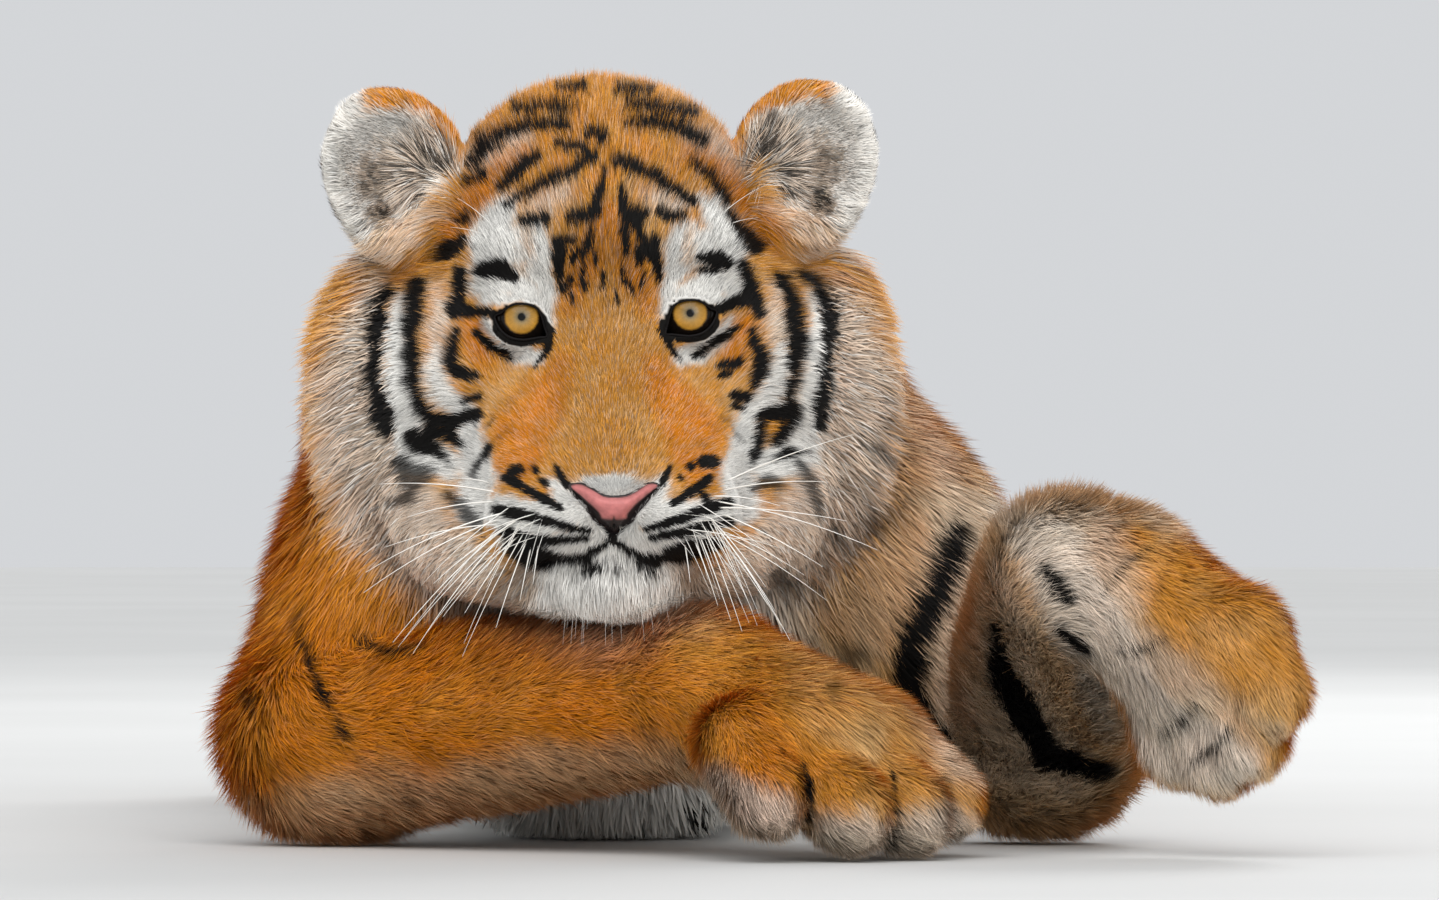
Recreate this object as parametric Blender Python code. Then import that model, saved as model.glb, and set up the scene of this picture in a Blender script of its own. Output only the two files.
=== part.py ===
"""A Siberian tiger about a year old, life size, lying on its belly with its right forearm across in front of its
chest and its left paw raised and hanging from the wrist. One flesh form is made from rounded masses, closed over by
the depth of the coat, stood on flats at floor level, and parted into named sub-parts by thin cuts.

Lengths in this file are centimetres in the body frame: +X is the tiger's left, +Y runs from its face to its tail,
+Z is up, and the floor is z = 0. The objects are in metres, with the origin at the middle of the box on the floor.
"""

import itertools
import math

import bmesh
import bpy
import numpy as np

CM = 0.01
CUT_GAP = 0.0004  # metres left between two sub-parts at a cut
BODY_STEP = 0.75  # grid step of the body surface
CUTTER_STEP = 2.0  # grid step of the surfaces that part it
CUTTER_REACH = 3.0  # how far a cutter stands out of the coat
BODY_TRIANGLES = 3150
CUTTER_TRIANGLES = 70
SOFT_JOIN = 0.5  # rounding where two limbs only touch
EYE_RADIUS = 1.75
EYE_SEGMENTS = 14
EYE_RINGS = 9

HEAD_AT = (0.0, 0.0, 28.7)  # the point between the eyes
HEAD_ROLL = math.radians(1.3)  # towards the tiger's right
HEAD_YAW = math.radians(1.3)  # towards the tiger's left
EYE_APART = 4.5
SIDES = {"right": -1, "left": 1}

FLESH = []


def turned(about, angle):
    """Rotation matrix about one of the axes x, y and z."""
    c, s = math.cos(angle), math.sin(angle)
    return {
        "x": np.array([[1, 0, 0], [0, c, -s], [0, s, c]]),
        "y": np.array([[c, 0, s], [0, 1, 0], [-s, 0, c]]),
        "z": np.array([[c, -s, 0], [s, c, 0], [0, 0, 1]]),
    }[about]


HEAD_TURN = turned("z", HEAD_YAW) @ turned("y", -HEAD_ROLL)


def ball(part, centre, radii, coat, blend=1.5, turn=None):
    """An ellipsoid of flesh. coat is the depth of the hair over it, blend the width of its join."""
    turn = np.eye(3) if turn is None else turn
    FLESH.append(
        {"part": part, "kind": "ball", "at": np.array(centre, float), "radii": np.array(radii, float),
         "turn": turn, "coat": coat, "blend": blend}
    )


def bone(part, start, end, thick, coat, blend=1.5, flat=1.0, across=(0, 0, 1)):
    """A round length of flesh from start to end, thick at each. flat scales it along the direction across."""
    across = np.array(across, float)
    FLESH.append(
        {"part": part, "kind": "bone", "at": np.array(start, float), "to": np.array(end, float),
         "thick": thick, "flat": flat, "across": across / np.linalg.norm(across), "coat": coat, "blend": blend}
    )


def on_head(*place):
    """A place given in the head's own frame, in the body frame."""
    return np.array(HEAD_AT) + HEAD_TURN @ np.array(place, float)


def head_ball(part, centre, radii, coat, blend=1.5, turn=None):
    own = np.eye(3) if turn is None else turn
    ball(part, on_head(*centre), radii, coat, blend, HEAD_TURN @ own)


def head_bone(part, start, end, thick, coat, blend=1.5, flat=1.0, across=(1, 0, 0)):
    bone(part, on_head(*start), on_head(*end), thick, coat, blend, flat, HEAD_TURN @ np.array(across, float))


def curve_through(points, per_span=4):
    """Points of a smooth curve through the given ones."""
    points = [np.array(p, float) for p in points]
    ends = [2 * points[0] - points[1], *points, 2 * points[-1] - points[-2]]
    made = []
    for a, b, c, d in zip(ends, ends[1:], ends[2:], ends[3:]):
        for t in np.arange(per_span) / per_span:
            made.append(
                0.5 * (2 * b + (c - a) * t + (2 * a - 5 * b + 4 * c - d) * t**2 + (3 * b - a - 3 * c + d) * t**3)
            )
    return [*made, points[-1]]


def add_trunk():
    ball("chest", (0, 24, 15.0), (12.0, 13, 14.8), 1.6, 4)
    ball("chest", (0, 41, 16.0), (13.6, 22, 16.3), 1.5, 5)  # rib cage
    ball("chest", (0, 31, 27.5), (7.2, 13, 9.2), 1.4, 4)  # withers
    ball("belly", (0, 66, 14.0), (13.2, 21, 14.6), 1.6, 5)
    bone("belly", (0, 52, 23.6), (0, 86, 24.2), (8.2, 7.6), 1.4, 5)  # loin
    ball("hips", (0, 96, 18.0), (11.2, 15, 14.2), 1.5, 4)
    ball("hips", (0, 106, 15.0), (8.2, 9.5, 11.0), 1.5, 4)
    for side in SIDES.values():
        ball("chest", (side * 7.4, 27, 24.5), (5.6, 9.5, 11.0), 1.3, 3.5, turned("x", 0.35))  # shoulder blade


def add_neck():
    bone("neck", (0, 27, 23), (0, 14, 27), (11.4, 9.8), 2.2, 4)
    ball("neck", (0, 17, 18.5), (10.5, 9, 9.5), 2.0, 4)


def add_head():
    head_ball("head", (0, 10.5, 4.5), (7.8, 8.0, 7.4), 1.4, 2)  # brain case
    head_ball("head", (0, 5.0, 3.2), (6.0, 4.6, 5.0), 0.9, 2)  # forehead
    head_ball("head", (0, 13, -2), (9, 7, 9), 2.0, 3)  # nape and throat
    for side in SIDES.values():
        head_ball("head", (side * 4.4, 2.6, 2.9), (2.7, 2.0, 1.7), 0.7, 1.5)  # brow
        head_ball("head", (side * 7.0, 6.5, -3.0), (4.4, 4.8, 5.6), 1.0, 2.5)  # cheek
        head_ball("head", (side * 10.2, 11, -5.0), (4.2, 4.0, 8.0), 2.0, 3, turned("y", side * 0.1))  # ruff
        head_bone("head", (side * 2.8, -2.2, -12.0), (side * 6.5, 6.0, -10.0), (2.9, 4.3), 1.2, 2)  # jaw
    head_bone("muzzle", (0, 2.3, -1.6), (0, -5.4, -9.4), (3.0, 2.3), 0.35, 1.5, 1.25)  # bridge
    for side in SIDES.values():
        head_bone("muzzle", (side * 3.6, 1.8, -6.5), (side * 3.2, -4.8, -9.8), (3.4, 2.6), 0.5, 1.6)
        head_ball("muzzle", (side * 3.0, -5.7, -10.6), (3.4, 3.3, 2.3), 0.35, 1.2, turned("y", side * 0.2))
    head_ball("muzzle", (0, -4.6, -11.0), (3.2, 3.3, 2.2), 0.35, 1.0)  # behind the lips
    head_ball("nose", (0, -7.9, -9.9), (2.2, 1.7, 1.3), 0.1, 0.5)
    head_ball("lower_jaw", (0, -4.3, -13.3), (3.6, 3.0, 2.3), 0.9, 1.0)


def ear_masses(side):
    """(outer, scoop) of one ear: a rounded cup that faces forwards."""
    lean = turned("y", side * 0.42) @ turned("z", side * -0.22) @ turned("x", 0.1)
    outer = {"at": (side * 10.9, 7.8, 7.9), "radii": (3.7, 2.5, 4.5), "turn": lean}
    scoop = {"at": (side * 11.1, 5.6, 8.2), "radii": (2.9, 2.4, 3.6), "turn": lean}
    return outer, scoop


EAR_COAT = 0.45


def add_limbs():
    bone("upper_arm_right", (-8.5, 25, 24), (-10.5, 16.5, 15), (6.6, 6.0), 1.3, 4)
    bone("upper_arm_right", (-10.5, 16.5, 15), (-15.0, 12.5, 6.3), (6.0, 5.1), 1.3, 3)
    bone("forearm_right", (-14.2, 11.5, 6.1), (5.0, -3.6, 8.7), (5.0, 3.7), 1.0, 2)
    bone("upper_arm_left", (8.0, 25, 24.5), (13.5, 19.5, 16.5), (6.6, 6.2), 1.3, 4)
    bone("upper_arm_left", (13.5, 19.5, 16.5), (23.3, 15.0, 6.6), (6.2, 5.1), 1.3, 3)
    bone("forearm_left", (23.6, 13.5, 6.4), (24.6, -1.6, 14.5), (5.0, 4.2), 1.0, 2)
    for name, side in SIDES.items():
        ball(f"thigh_{name}", (side * 10.0, 93, 13.5), (7.2, 16, 12.2), 1.5, 4)
        bone(f"thigh_{name}", (side * 8.5, 99, 15), (side * 13.0, 80, 9.5), (8.5, 6.3), 1.4, 3)
        bone(f"shank_{name}", (side * 13.6, 79, 7.8), (side * 15.6, 103, 4.9), (5.0, 3.3), 1.0, 2)
        bone(f"foot_{name}", (side * 16.0, 105, 4.0), (side * 16.6, 87, 3.4), (3.0, 2.7), 0.8, 1.5)
    add_paw("paw_right", (5.0, -3.6, 8.7), (11.0, -8.0, 6.0), (0.60, -0.74, -0.34), (0.80, 0.60, -0.05), 4.0,
            (3.7, 3.5), 2.0, 1.5)
    add_paw("paw_left", (27.4, -3.0, 14.2), (31.5, -6.0, 10.4), (0.30, -0.28, -0.91), (0.60, -0.74, 0.40), 2.5)
    for name, side in SIDES.items():
        add_paw(f"foot_{name}", (side * 16.6, 87, 3.4), (side * 16.8, 80.5, 3.0), (0, -1, -0.05), (1, 0, 0), 2.4)


def add_paw(part, wrist, knuckles, forward, across, spread, thick=(3.6, 3.2), arc=1.4, drop=0.0):
    """The flat of a paw and its four toes, which point forward in an arched row along across and dip by drop."""
    forward, across = np.array(forward, float), np.array(across, float)
    forward /= np.linalg.norm(forward)
    across -= forward * (across @ forward)
    across /= np.linalg.norm(across)
    knuckles = np.array(knuckles, float)
    bone(part, wrist, knuckles, thick, 0.8, 1.5)
    for place in (-1, 1):
        bone(part, wrist, knuckles + across * place * spread * 0.72, (3.1, 2.9), 0.8, 1.5)
    for place in (-1.5, -0.5, 0.5, 1.5):
        middle = abs(place) < 1
        tip = knuckles + across * place * spread * 0.98 + forward * (3.2 + (arc if middle else 0)) - (0, 0, drop)
        root = knuckles + across * place * spread * 0.80 - forward * 0.4
        bone(part, root, tip, (2.2, 2.0 if middle else 1.9), 0.7, 0.7)


TAIL_LINE = [(0, 108, 18), (0, 116, 14.5), (1.5, 124, 9.0), (6.0, 131, 5.0), (13, 134.5, 4.0), (21, 132, 3.9),
             (26.5, 125, 3.8), (28, 115, 3.7), (28, 104, 3.5), (27, 94, 3.2)]
TAIL_PARTS = ("tail_base", "tail_middle", "tail_tip")


def add_tail():
    line = curve_through(TAIL_LINE, 3)
    thick = np.interp(np.linspace(0, 1, len(line)), [0, 0.15, 0.8, 1], [4.0, 3.2, 2.7, 2.2])
    for i, (a, b) in enumerate(zip(line, line[1:])):
        part = TAIL_PARTS[min(2, 3 * i // (len(line) - 1))]
        bone(part, a, b, (thick[i], thick[i + 1]), 1.2, 1.0)


def ball_distance(p, at, radii, turn):
    """Distance to an ellipsoid, good near its surface."""
    local = (p - at) @ turn
    near = np.linalg.norm(local / radii, axis=1)
    steep = np.linalg.norm(local / radii**2, axis=1)
    return near * (near - 1) / np.maximum(steep, 1e-6)


def bone_distance(p, mass):
    """Distance to a rounded, tapered and flattened length."""
    across, flat = mass["across"], mass["flat"]
    shrink = 1 / flat - 1

    def squeezed(q):
        return q + np.multiply.outer(q @ across, across) * shrink

    a, b = mass["at"], mass["to"]
    axis, local = squeezed(b - a), squeezed(p - a)
    t = np.clip(local @ axis / (axis @ axis), 0, 1)
    away = local - np.multiply.outer(t, axis)
    far = np.linalg.norm(away, axis=1)
    sideways = (away @ across) / np.maximum(far, 1e-6)
    slope = np.sqrt(1 + sideways**2 * (1 / flat**2 - 1))
    return (far - (mass["thick"][0] + t * (mass["thick"][1] - mass["thick"][0]))) / slope


def mass_distance(p, mass, coated):
    if mass["kind"] == "ball":
        d = ball_distance(p, mass["at"], mass["radii"], mass["turn"])
    else:
        d = bone_distance(p, mass)
    return d - mass["coat"] if coated else d


def joined(a, b, blend):
    """Union of two distances, with a fillet of that width."""
    h = np.maximum(blend - np.abs(a - b), 0) / blend
    return np.minimum(a, b) - h * h * blend / 4


def reach_of(mass):
    """A box that holds the mass with its coat and its fillet."""
    room = mass["coat"] + mass["blend"] + 2 * BODY_STEP
    if mass["kind"] == "ball":
        r = np.abs(mass["turn"]) @ mass["radii"] + room
        return mass["at"] - r, mass["at"] + r
    r = max(mass["thick"]) * max(1, mass["flat"]) + room
    return np.minimum(mass["at"], mass["to"]) - r, np.maximum(mass["at"], mass["to"]) + r


FAR = 60.0


def union_of(masses, p, coated, near_only=True):
    """Distance from each point to these masses run together."""
    total = np.full(len(p), FAR)
    for mass in masses:
        if near_only:
            low, high = reach_of(mass)
            near = np.flatnonzero(((p > low) & (p < high)).all(1))
        else:
            near = np.arange(len(p))
        if len(near):
            total[near] = joined(total[near], mass_distance(p[near], mass, coated), mass["blend"])
    return total


def ear_distance(p, side, coated):
    outer, scoop = ear_masses(side)
    coat = EAR_COAT if coated else 0
    cup = ball_distance(p, on_head(*outer["at"]), np.array(outer["radii"]), HEAD_TURN @ outer["turn"]) - coat
    hollow = ball_distance(p, on_head(*scoop["at"]), np.array(scoop["radii"]), HEAD_TURN @ scoop["turn"]) + coat
    return np.maximum(cup, -hollow)


AXIAL = ("chest", "belly", "hips", "neck", "head", "muzzle", "nose", "lower_jaw", *TAIL_PARTS)
ROOTS = ("upper_arm_right", "upper_arm_left", "thigh_right", "thigh_left")
CHAINS = [
    ("upper_arm_right", "forearm_right", "paw_right"),
    ("upper_arm_left", "forearm_left", "paw_left"),
    ("thigh_right", "shank_right", "foot_right"),
    ("thigh_left", "shank_left", "foot_left"),
]
EARS = {f"ear_{name}": side for name, side in SIDES.items()}


def masses_of(parts):
    return [m for m in FLESH if m["part"] in parts]


def body_distance(p, coated=True):
    """Distance to the whole tiger. Limbs run into the trunk at their roots only."""
    total = union_of(masses_of(AXIAL + ROOTS), p, coated)
    for side in SIDES.values():
        low, high = on_head(side * 10.3, 6.8, 7.6) - 9, on_head(side * 10.3, 6.8, 7.6) + 9
        near = np.flatnonzero(((p > low) & (p < high)).all(1))
        if len(near):
            total[near] = joined(total[near], ear_distance(p[near], side, coated), 1.2)
    for chain in CHAINS:
        total = joined(total, union_of(masses_of(chain), p, coated), SOFT_JOIN)
    return total


FAVOUR = {"nose": 0.9, "muzzle": -0.9, "lower_jaw": 0.3}  # moves a cut outwards from these sub-parts


def part_distance(p, part):
    if part in EARS:
        return ear_distance(p, EARS[part], True)
    return union_of(masses_of((part,)), p, True, near_only=False) - FAVOUR.get(part, 0)


def closed_surface(values, low, step):
    """(points, triangles) of the closed surface where a grid of values crosses zero. Each cube of the grid is
    split into six tetrahedra that share its long diagonal, so that the surface is always a manifold."""
    inside, size = values < 0, np.array(values.shape)
    corners = list(itertools.product((0, 1), repeat=3))
    count = sum(inside[i : size[0] - 1 + i, j : size[1] - 1 + j, k : size[2] - 1 + k].astype(int) for i, j, k in corners)
    cells = np.argwhere((count > 0) & (count < 8))
    triangles = []
    for order in itertools.permutations(range(3)):
        steps = np.cumsum([[0, 0, 0], *np.eye(3, dtype=int)[list(order)]], axis=0)
        spots = cells[:, None] + steps
        flat = np.ravel_multi_index(tuple(np.moveaxis(spots, 2, 0)), values.shape)
        within = inside.ravel()[flat]
        for case in itertools.product((False, True), repeat=4):
            inner, outer = [i for i in range(4) if case[i]], [i for i in range(4) if not case[i]]
            if not inner or not outer:
                continue
            here = flat[(within == case).all(1)]
            ring = [(i, o) for i in inner for o in (outer if i == inner[0] else outer[::-1])]
            for a, b in zip(ring[1:], ring[2:]):
                triangles.append([np.sort(here[:, edge], 1) for edge in (ring[0], a, b)])
    pairs = np.concatenate([np.stack(t, 1) for t in triangles])
    keys, index = np.unique(pairs[..., 0] * values.size + pairs[..., 1], return_inverse=True)
    ends = np.stack([keys // values.size, keys % values.size], 1)
    v = values.ravel()[ends]
    spots = np.stack(np.unravel_index(ends, values.shape), 2)
    share = (v[:, 0] / (v[:, 0] - v[:, 1]))[:, None]
    return low + (spots[:, 0] + share * (spots[:, 1] - spots[:, 0])) * step, index.reshape(-1, 3)


def grid_over(low, high, step):
    """(points of a grid, its shape)."""
    axes = [np.arange(a, b + step, step) for a, b in zip(low, high)]
    mesh = np.meshgrid(*axes, indexing="ij")
    return np.stack([m.ravel() for m in mesh], 1), mesh[0].shape


def settle(points, distance, rounds=3):
    """Moves points onto the zero level of a distance."""
    nudge = 0.05
    for _ in range(rounds):
        d = distance(points)
        slope = np.stack([(distance(points + nudge * e) - d) / nudge for e in np.eye(3)], 1)
        steep = np.maximum((slope**2).sum(1), 0.2)
        points = points - np.clip(d / steep, -0.5, 0.5)[:, None] * slope
    return points


def mesh_of(name, points, faces):
    mesh = bpy.data.meshes.new(name)
    mesh.from_pydata((points * CM).tolist(), [], faces.tolist())
    shape = bmesh.new()
    shape.from_mesh(mesh)
    bmesh.ops.recalc_face_normals(shape, faces=shape.faces[:])
    shape.to_mesh(mesh)
    shape.free()
    return mesh


def helper(name, mesh):
    """An object that only shapes others."""
    made = bpy.data.objects.new(name, mesh)
    bpy.context.scene.collection.objects.link(made)
    made.hide_render = True
    made.display_type = "WIRE"
    return made


def with_modifiers_applied(thing):
    bpy.context.view_layer.update()
    graph = bpy.context.evaluated_depsgraph_get()
    mesh = bpy.data.meshes.new_from_object(thing.evaluated_get(graph))
    thing.modifiers.clear()
    thing.data = mesh
    return thing


def thinned(thing, triangles):
    """The object with its mesh reduced to about that many triangles."""
    now = sum(len(f.vertices) - 2 for f in thing.data.polygons)
    reduce = thing.modifiers.new("fewer", "DECIMATE")
    reduce.ratio = min(1, triangles / now)
    return with_modifiers_applied(thing)


def cut(thing, cutter, operation):
    step = thing.modifiers.new("cut", "BOOLEAN")
    step.operation, step.object = operation, cutter
    step.solver = "MANIFOLD"
    return with_modifiers_applied(thing)


def stand_on_floor(mesh):
    """Cuts everything below z = 0 off and closes it with flats."""
    shape = bmesh.new()
    shape.from_mesh(mesh)
    found = bmesh.ops.bisect_plane(
        shape, geom=[*shape.verts, *shape.edges, *shape.faces], plane_co=(0, 0, 0), plane_no=(0, 0, 1),
        clear_inner=True, dist=1e-5,
    )
    rim = [e for e in found["geom_cut"] if isinstance(e, bmesh.types.BMEdge)]
    bmesh.ops.holes_fill(shape, edges=rim, sides=0)
    shape.normal_update()
    bmesh.ops.triangulate(shape, faces=shape.faces[:])
    shape.to_mesh(mesh)
    shape.free()


def without_splits(thing):
    """Merges the flat fragments that the cuts leave."""
    step = thing.modifiers.new("flat", "DECIMATE")
    step.decimate_type = "DISSOLVE"
    step.angle_limit = math.radians(0.3)
    thing.modifiers.new("triangles", "TRIANGULATE")
    return with_modifiers_applied(thing)


def keep_largest(mesh):
    """Drops all but the largest connected piece, since a cut can leave crumbs."""
    shape = bmesh.new()
    shape.from_mesh(mesh)
    todo, groups = set(shape.verts), []
    while todo:
        front = [todo.pop()]
        group = set(front)
        while front:
            for edge in front.pop().link_edges:
                for vert in edge.verts:
                    if vert in todo:
                        todo.discard(vert)
                        group.add(vert)
                        front.append(vert)
        groups.append(group)
    groups.sort(key=len)
    for group in groups[:-1]:
        bmesh.ops.delete(shape, geom=list(group), context="VERTS")
    shape.to_mesh(mesh)
    shape.free()


def body_form():
    """The whole tiger out to the tips of its coat, as one closed mesh."""
    low, high = np.array([-27.0, -26, -2.5]), np.array([42.0, 143, 45])
    points, shape = grid_over(low, high, BODY_STEP)
    values = body_distance(points).reshape(shape)
    points, faces = closed_surface(values, low, BODY_STEP)
    points = settle(points, body_distance)
    body = helper("whole_body", mesh_of("whole_body", points, faces))
    thinned(body, BODY_TRIANGLES)
    stand_on_floor(body.data)
    return body


# The order in which sub-parts are cut off what is left of the body.
PART_ORDER = (
    "nose", "ear_right", "ear_left", "lower_jaw", "muzzle",
    "paw_right", "paw_left", "forearm_right", "forearm_left",
    "foot_right", "foot_left", "shank_right", "shank_left",
    "tail_tip", "tail_middle", "tail_base",
    "upper_arm_right", "upper_arm_left", "thigh_right", "thigh_left",
    "head", "neck", "hips", "chest", "belly",
)


def cutter_for(part, others, fields, body_field, shape, low):
    """A closed mesh round all that lies nearer this part than the others."""
    rest = np.min([fields[o] for o in others], axis=0)
    values = np.maximum(fields[part] - rest, body_field - CUTTER_REACH)
    values = values.reshape(shape)
    for axis in range(3):
        edge = [slice(None)] * 3
        for end in (0, -1):
            edge[axis] = end
            values[tuple(edge)] = 1.0
    points, faces = closed_surface(values, low, CUTTER_STEP)
    cutter = helper("cutter_" + part, mesh_of("cutter_" + part, points, faces))
    smooth = cutter.modifiers.new("smooth", "SMOOTH")
    smooth.factor, smooth.iterations = 0.5, 12
    return thinned(cutter, CUTTER_TRIANGLES)


def grown(cutter, by):
    """A copy of a cutter that stands out by a little on every side."""
    mesh = cutter.data.copy()
    move = [v.normal * by for v in mesh.vertices]
    for vert, step in zip(mesh.vertices, move):
        vert.co += step
    return helper(cutter.name + "_grown", mesh)


COLOURS = {
    "orange": ((0.56, 0.22, 0.045), 0.85),
    "cream": ((0.72, 0.62, 0.48), 0.9),
    "white": ((0.80, 0.76, 0.70), 0.9),
    "nose_skin": ((0.55, 0.20, 0.19), 0.45),
    "eye": ((0.35, 0.20, 0.05), 0.08),
}
FINISH = {"nose": "nose_skin", "lower_jaw": "white", "ear_right": "cream", "ear_left": "cream"}


def finish_for(name):
    kind = "eye" if name.startswith("eye_") else FINISH.get(name, "orange")
    material = bpy.data.materials.get(kind)
    if material is None:
        colour, rough = COLOURS[kind]
        material = bpy.data.materials.new(kind)
        material.use_nodes = True
        surface = material.node_tree.nodes["Principled BSDF"]
        surface.inputs["Base Color"].default_value = (*colour, 1)
        surface.inputs["Roughness"].default_value = rough
    return material


def sub_part(name, mesh):
    made = bpy.data.objects.new(name, mesh)
    bpy.context.scene.collection.objects.link(made)
    made.data.materials.clear()
    made.data.materials.append(finish_for(name))
    return made


def eyeball(name, side, radius):
    """A sphere at the place of one eye."""
    mesh = bpy.data.meshes.new(name)
    shape = bmesh.new()
    bmesh.ops.create_uvsphere(shape, u_segments=EYE_SEGMENTS, v_segments=EYE_RINGS, radius=radius * CM)
    shape.to_mesh(mesh)
    shape.free()
    mesh.shade_smooth()
    made = helper(name, mesh)
    made.location = on_head(side * EYE_APART, EYE_RADIUS, 0) * CM
    return made


def part_the_body(body):
    """Cuts the body into its sub-parts, the outlying ones first."""
    low, high = np.array([-32.4, -31.3, -6.2]), np.array([47.0, 148, 50])
    points, shape = grid_over(low, high, CUTTER_STEP)
    fields = {part: part_distance(points, part) for part in PART_ORDER}
    body_field = np.min(list(fields.values()), axis=0)
    made = []
    for i, part in enumerate(PART_ORDER[:-1]):
        cutter = cutter_for(part, PART_ORDER[i + 1 :], fields, body_field, shape, low)
        piece = sub_part(part, body.data.copy())
        cut(piece, cutter, "INTERSECT")
        keep_largest(piece.data)
        made.append(piece)
        cut(body, grown(cutter, CUT_GAP), "DIFFERENCE")
    last = sub_part(PART_ORDER[-1], body.data.copy())
    keep_largest(last.data)
    return [*made, last]


def add_eyes(pieces):
    """Two eyeballs, and the sockets that they sit in."""
    for name, side in SIDES.items():
        eye = eyeball(f"eye_{name}", side, EYE_RADIUS)
        socket = eyeball(f"socket_{name}", side, EYE_RADIUS + CUT_GAP / CM)
        for piece in pieces:
            if piece.name in ("head", "muzzle"):
                cut(piece, socket, "DIFFERENCE")
                keep_largest(piece.data)
        eye.hide_render = False
        eye.display_type = "TEXTURED"
        eye.data.materials.append(finish_for(eye.name))
        pieces.append(eye)


def centre_on_floor(pieces):
    """Puts the origin under the middle of the box that holds every sub-part."""
    bpy.context.view_layer.update()
    corners = np.array([p.matrix_world @ v.co for p in pieces for v in p.data.vertices])
    middle = (corners.min(0) + corners.max(0)) / 2
    for piece in pieces:
        piece.location.x -= middle[0]
        piece.location.y -= middle[1]


def main():
    for thing in list(bpy.data.objects):
        bpy.data.objects.remove(thing)
    add_trunk()
    add_neck()
    add_head()
    add_limbs()
    add_tail()
    body = body_form()
    pieces = part_the_body(body)
    add_eyes(pieces)
    for piece in pieces:
        without_splits(piece)
        piece.data.shade_smooth()
        piece.data.set_sharp_from_angle(angle=math.radians(50))
    centre_on_floor(pieces)


main()
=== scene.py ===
"""A young Siberian tiger, life size, lying on its belly: skin, coat, eyes, nose, whiskers and light.

Lengths are centimetres in the body frame of the model: +X is the tiger's left, +Y runs from its face to its
tail, +Z is up and the floor is z = 0. Places on the head are given from the point between the eyes.
"""

import functools
import itertools
import math

import bmesh
import bpy
import numpy as np
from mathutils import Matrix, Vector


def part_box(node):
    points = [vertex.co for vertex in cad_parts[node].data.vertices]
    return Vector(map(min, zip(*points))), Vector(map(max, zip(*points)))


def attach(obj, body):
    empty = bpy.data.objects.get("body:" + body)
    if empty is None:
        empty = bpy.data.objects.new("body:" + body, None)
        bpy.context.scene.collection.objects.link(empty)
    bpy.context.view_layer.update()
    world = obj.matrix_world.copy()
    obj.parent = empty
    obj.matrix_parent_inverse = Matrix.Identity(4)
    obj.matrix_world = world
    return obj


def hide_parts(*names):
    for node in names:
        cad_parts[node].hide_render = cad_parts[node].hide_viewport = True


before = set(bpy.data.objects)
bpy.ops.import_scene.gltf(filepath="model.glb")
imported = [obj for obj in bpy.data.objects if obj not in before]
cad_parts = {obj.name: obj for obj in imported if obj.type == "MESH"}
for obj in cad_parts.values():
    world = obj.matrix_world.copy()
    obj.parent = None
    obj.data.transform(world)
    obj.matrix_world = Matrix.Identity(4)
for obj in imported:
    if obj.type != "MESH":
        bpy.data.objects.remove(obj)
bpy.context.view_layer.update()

CM = 0.01
SEED = 11
FINE_STEP = 0.25  # skin grid over the face
STEP = 0.75  # skin grid elsewhere
EYE_RADIUS = 1.75
EYE_APART = 4.5  # of each eye, from the middle of the face
HEAD_AT = np.array((0.0, 0.0, 28.7))  # the point between the eyes
HEAD_ROLL = math.radians(1.3)  # towards the tiger's right
HEAD_YAW = math.radians(1.3)  # towards the tiger's left
SIDES = {"right": -1, "left": 1}
VIEW_DISTANCE = 600.0  # from the eyes to the camera
VIEW_DROP = 7.2  # from the eyes down to the camera's height
LENS = 281.4  # focal length in mm, on a sensor of 36 mm
FACE_OFFSET = 0.0789  # of the view's width, from its middle to the face

FLESH = []


def turned(about, angle):
    """Rotation matrix about one of the axes x, y and z."""
    c, s = math.cos(angle), math.sin(angle)
    return {
        "x": np.array([[1, 0, 0], [0, c, -s], [0, s, c]]),
        "y": np.array([[c, 0, s], [0, 1, 0], [-s, 0, c]]),
        "z": np.array([[c, -s, 0], [s, c, 0], [0, 0, 1]]),
    }[about]


HEAD_TURN = turned("z", HEAD_YAW) @ turned("y", -HEAD_ROLL)


def unit(v):
    return v / np.maximum(np.linalg.norm(v, axis=-1, keepdims=True), 1e-9)


def smooth(low, high, x):
    """0 below low and 1 above high, with a smooth rise between them."""
    t = np.clip((x - low) / (high - low), 0, 1)
    return t * t * (3 - 2 * t)


def most(*shares):
    """The greatest of several arrays, place by place."""
    return functools.reduce(np.maximum, shares)


def on_head(*place):
    """A place given in the head's own frame, in the body frame."""
    return HEAD_AT + HEAD_TURN @ np.array(place, float)


def in_head(p):
    """Places in the body frame, given in the head's own frame."""
    return (p - HEAD_AT) @ HEAD_TURN


def eye_middle(side):
    return on_head(side * EYE_APART, EYE_RADIUS, 0)


# ---- The flesh, as rounded masses -----------------------------------------------------------------


def ball(part, centre, radii, coat, blend=1.5, turn=None, lie=(0, 1, -0.3)):
    """An ellipsoid of flesh. coat is the depth of the hair over it and lie the way that the hair runs."""
    turn = np.eye(3) if turn is None else turn
    FLESH.append(
        {"part": part, "kind": "ball", "at": np.array(centre, float), "radii": np.array(radii, float),
         "turn": turn, "coat": coat, "blend": blend, "lie": unit(np.array(lie, float))}
    )


def bone(part, start, end, thick, coat, blend=1.5, flat=1.0, across=(0, 0, 1)):
    """A round length of flesh from start to end, thick at each. flat scales it along the direction across."""
    start, end, across = np.array(start, float), np.array(end, float), np.array(across, float)
    FLESH.append(
        {"part": part, "kind": "bone", "at": start, "to": end, "thick": thick, "flat": flat,
         "across": across / np.linalg.norm(across), "coat": coat, "blend": blend, "lie": unit(end - start)}
    )


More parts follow.
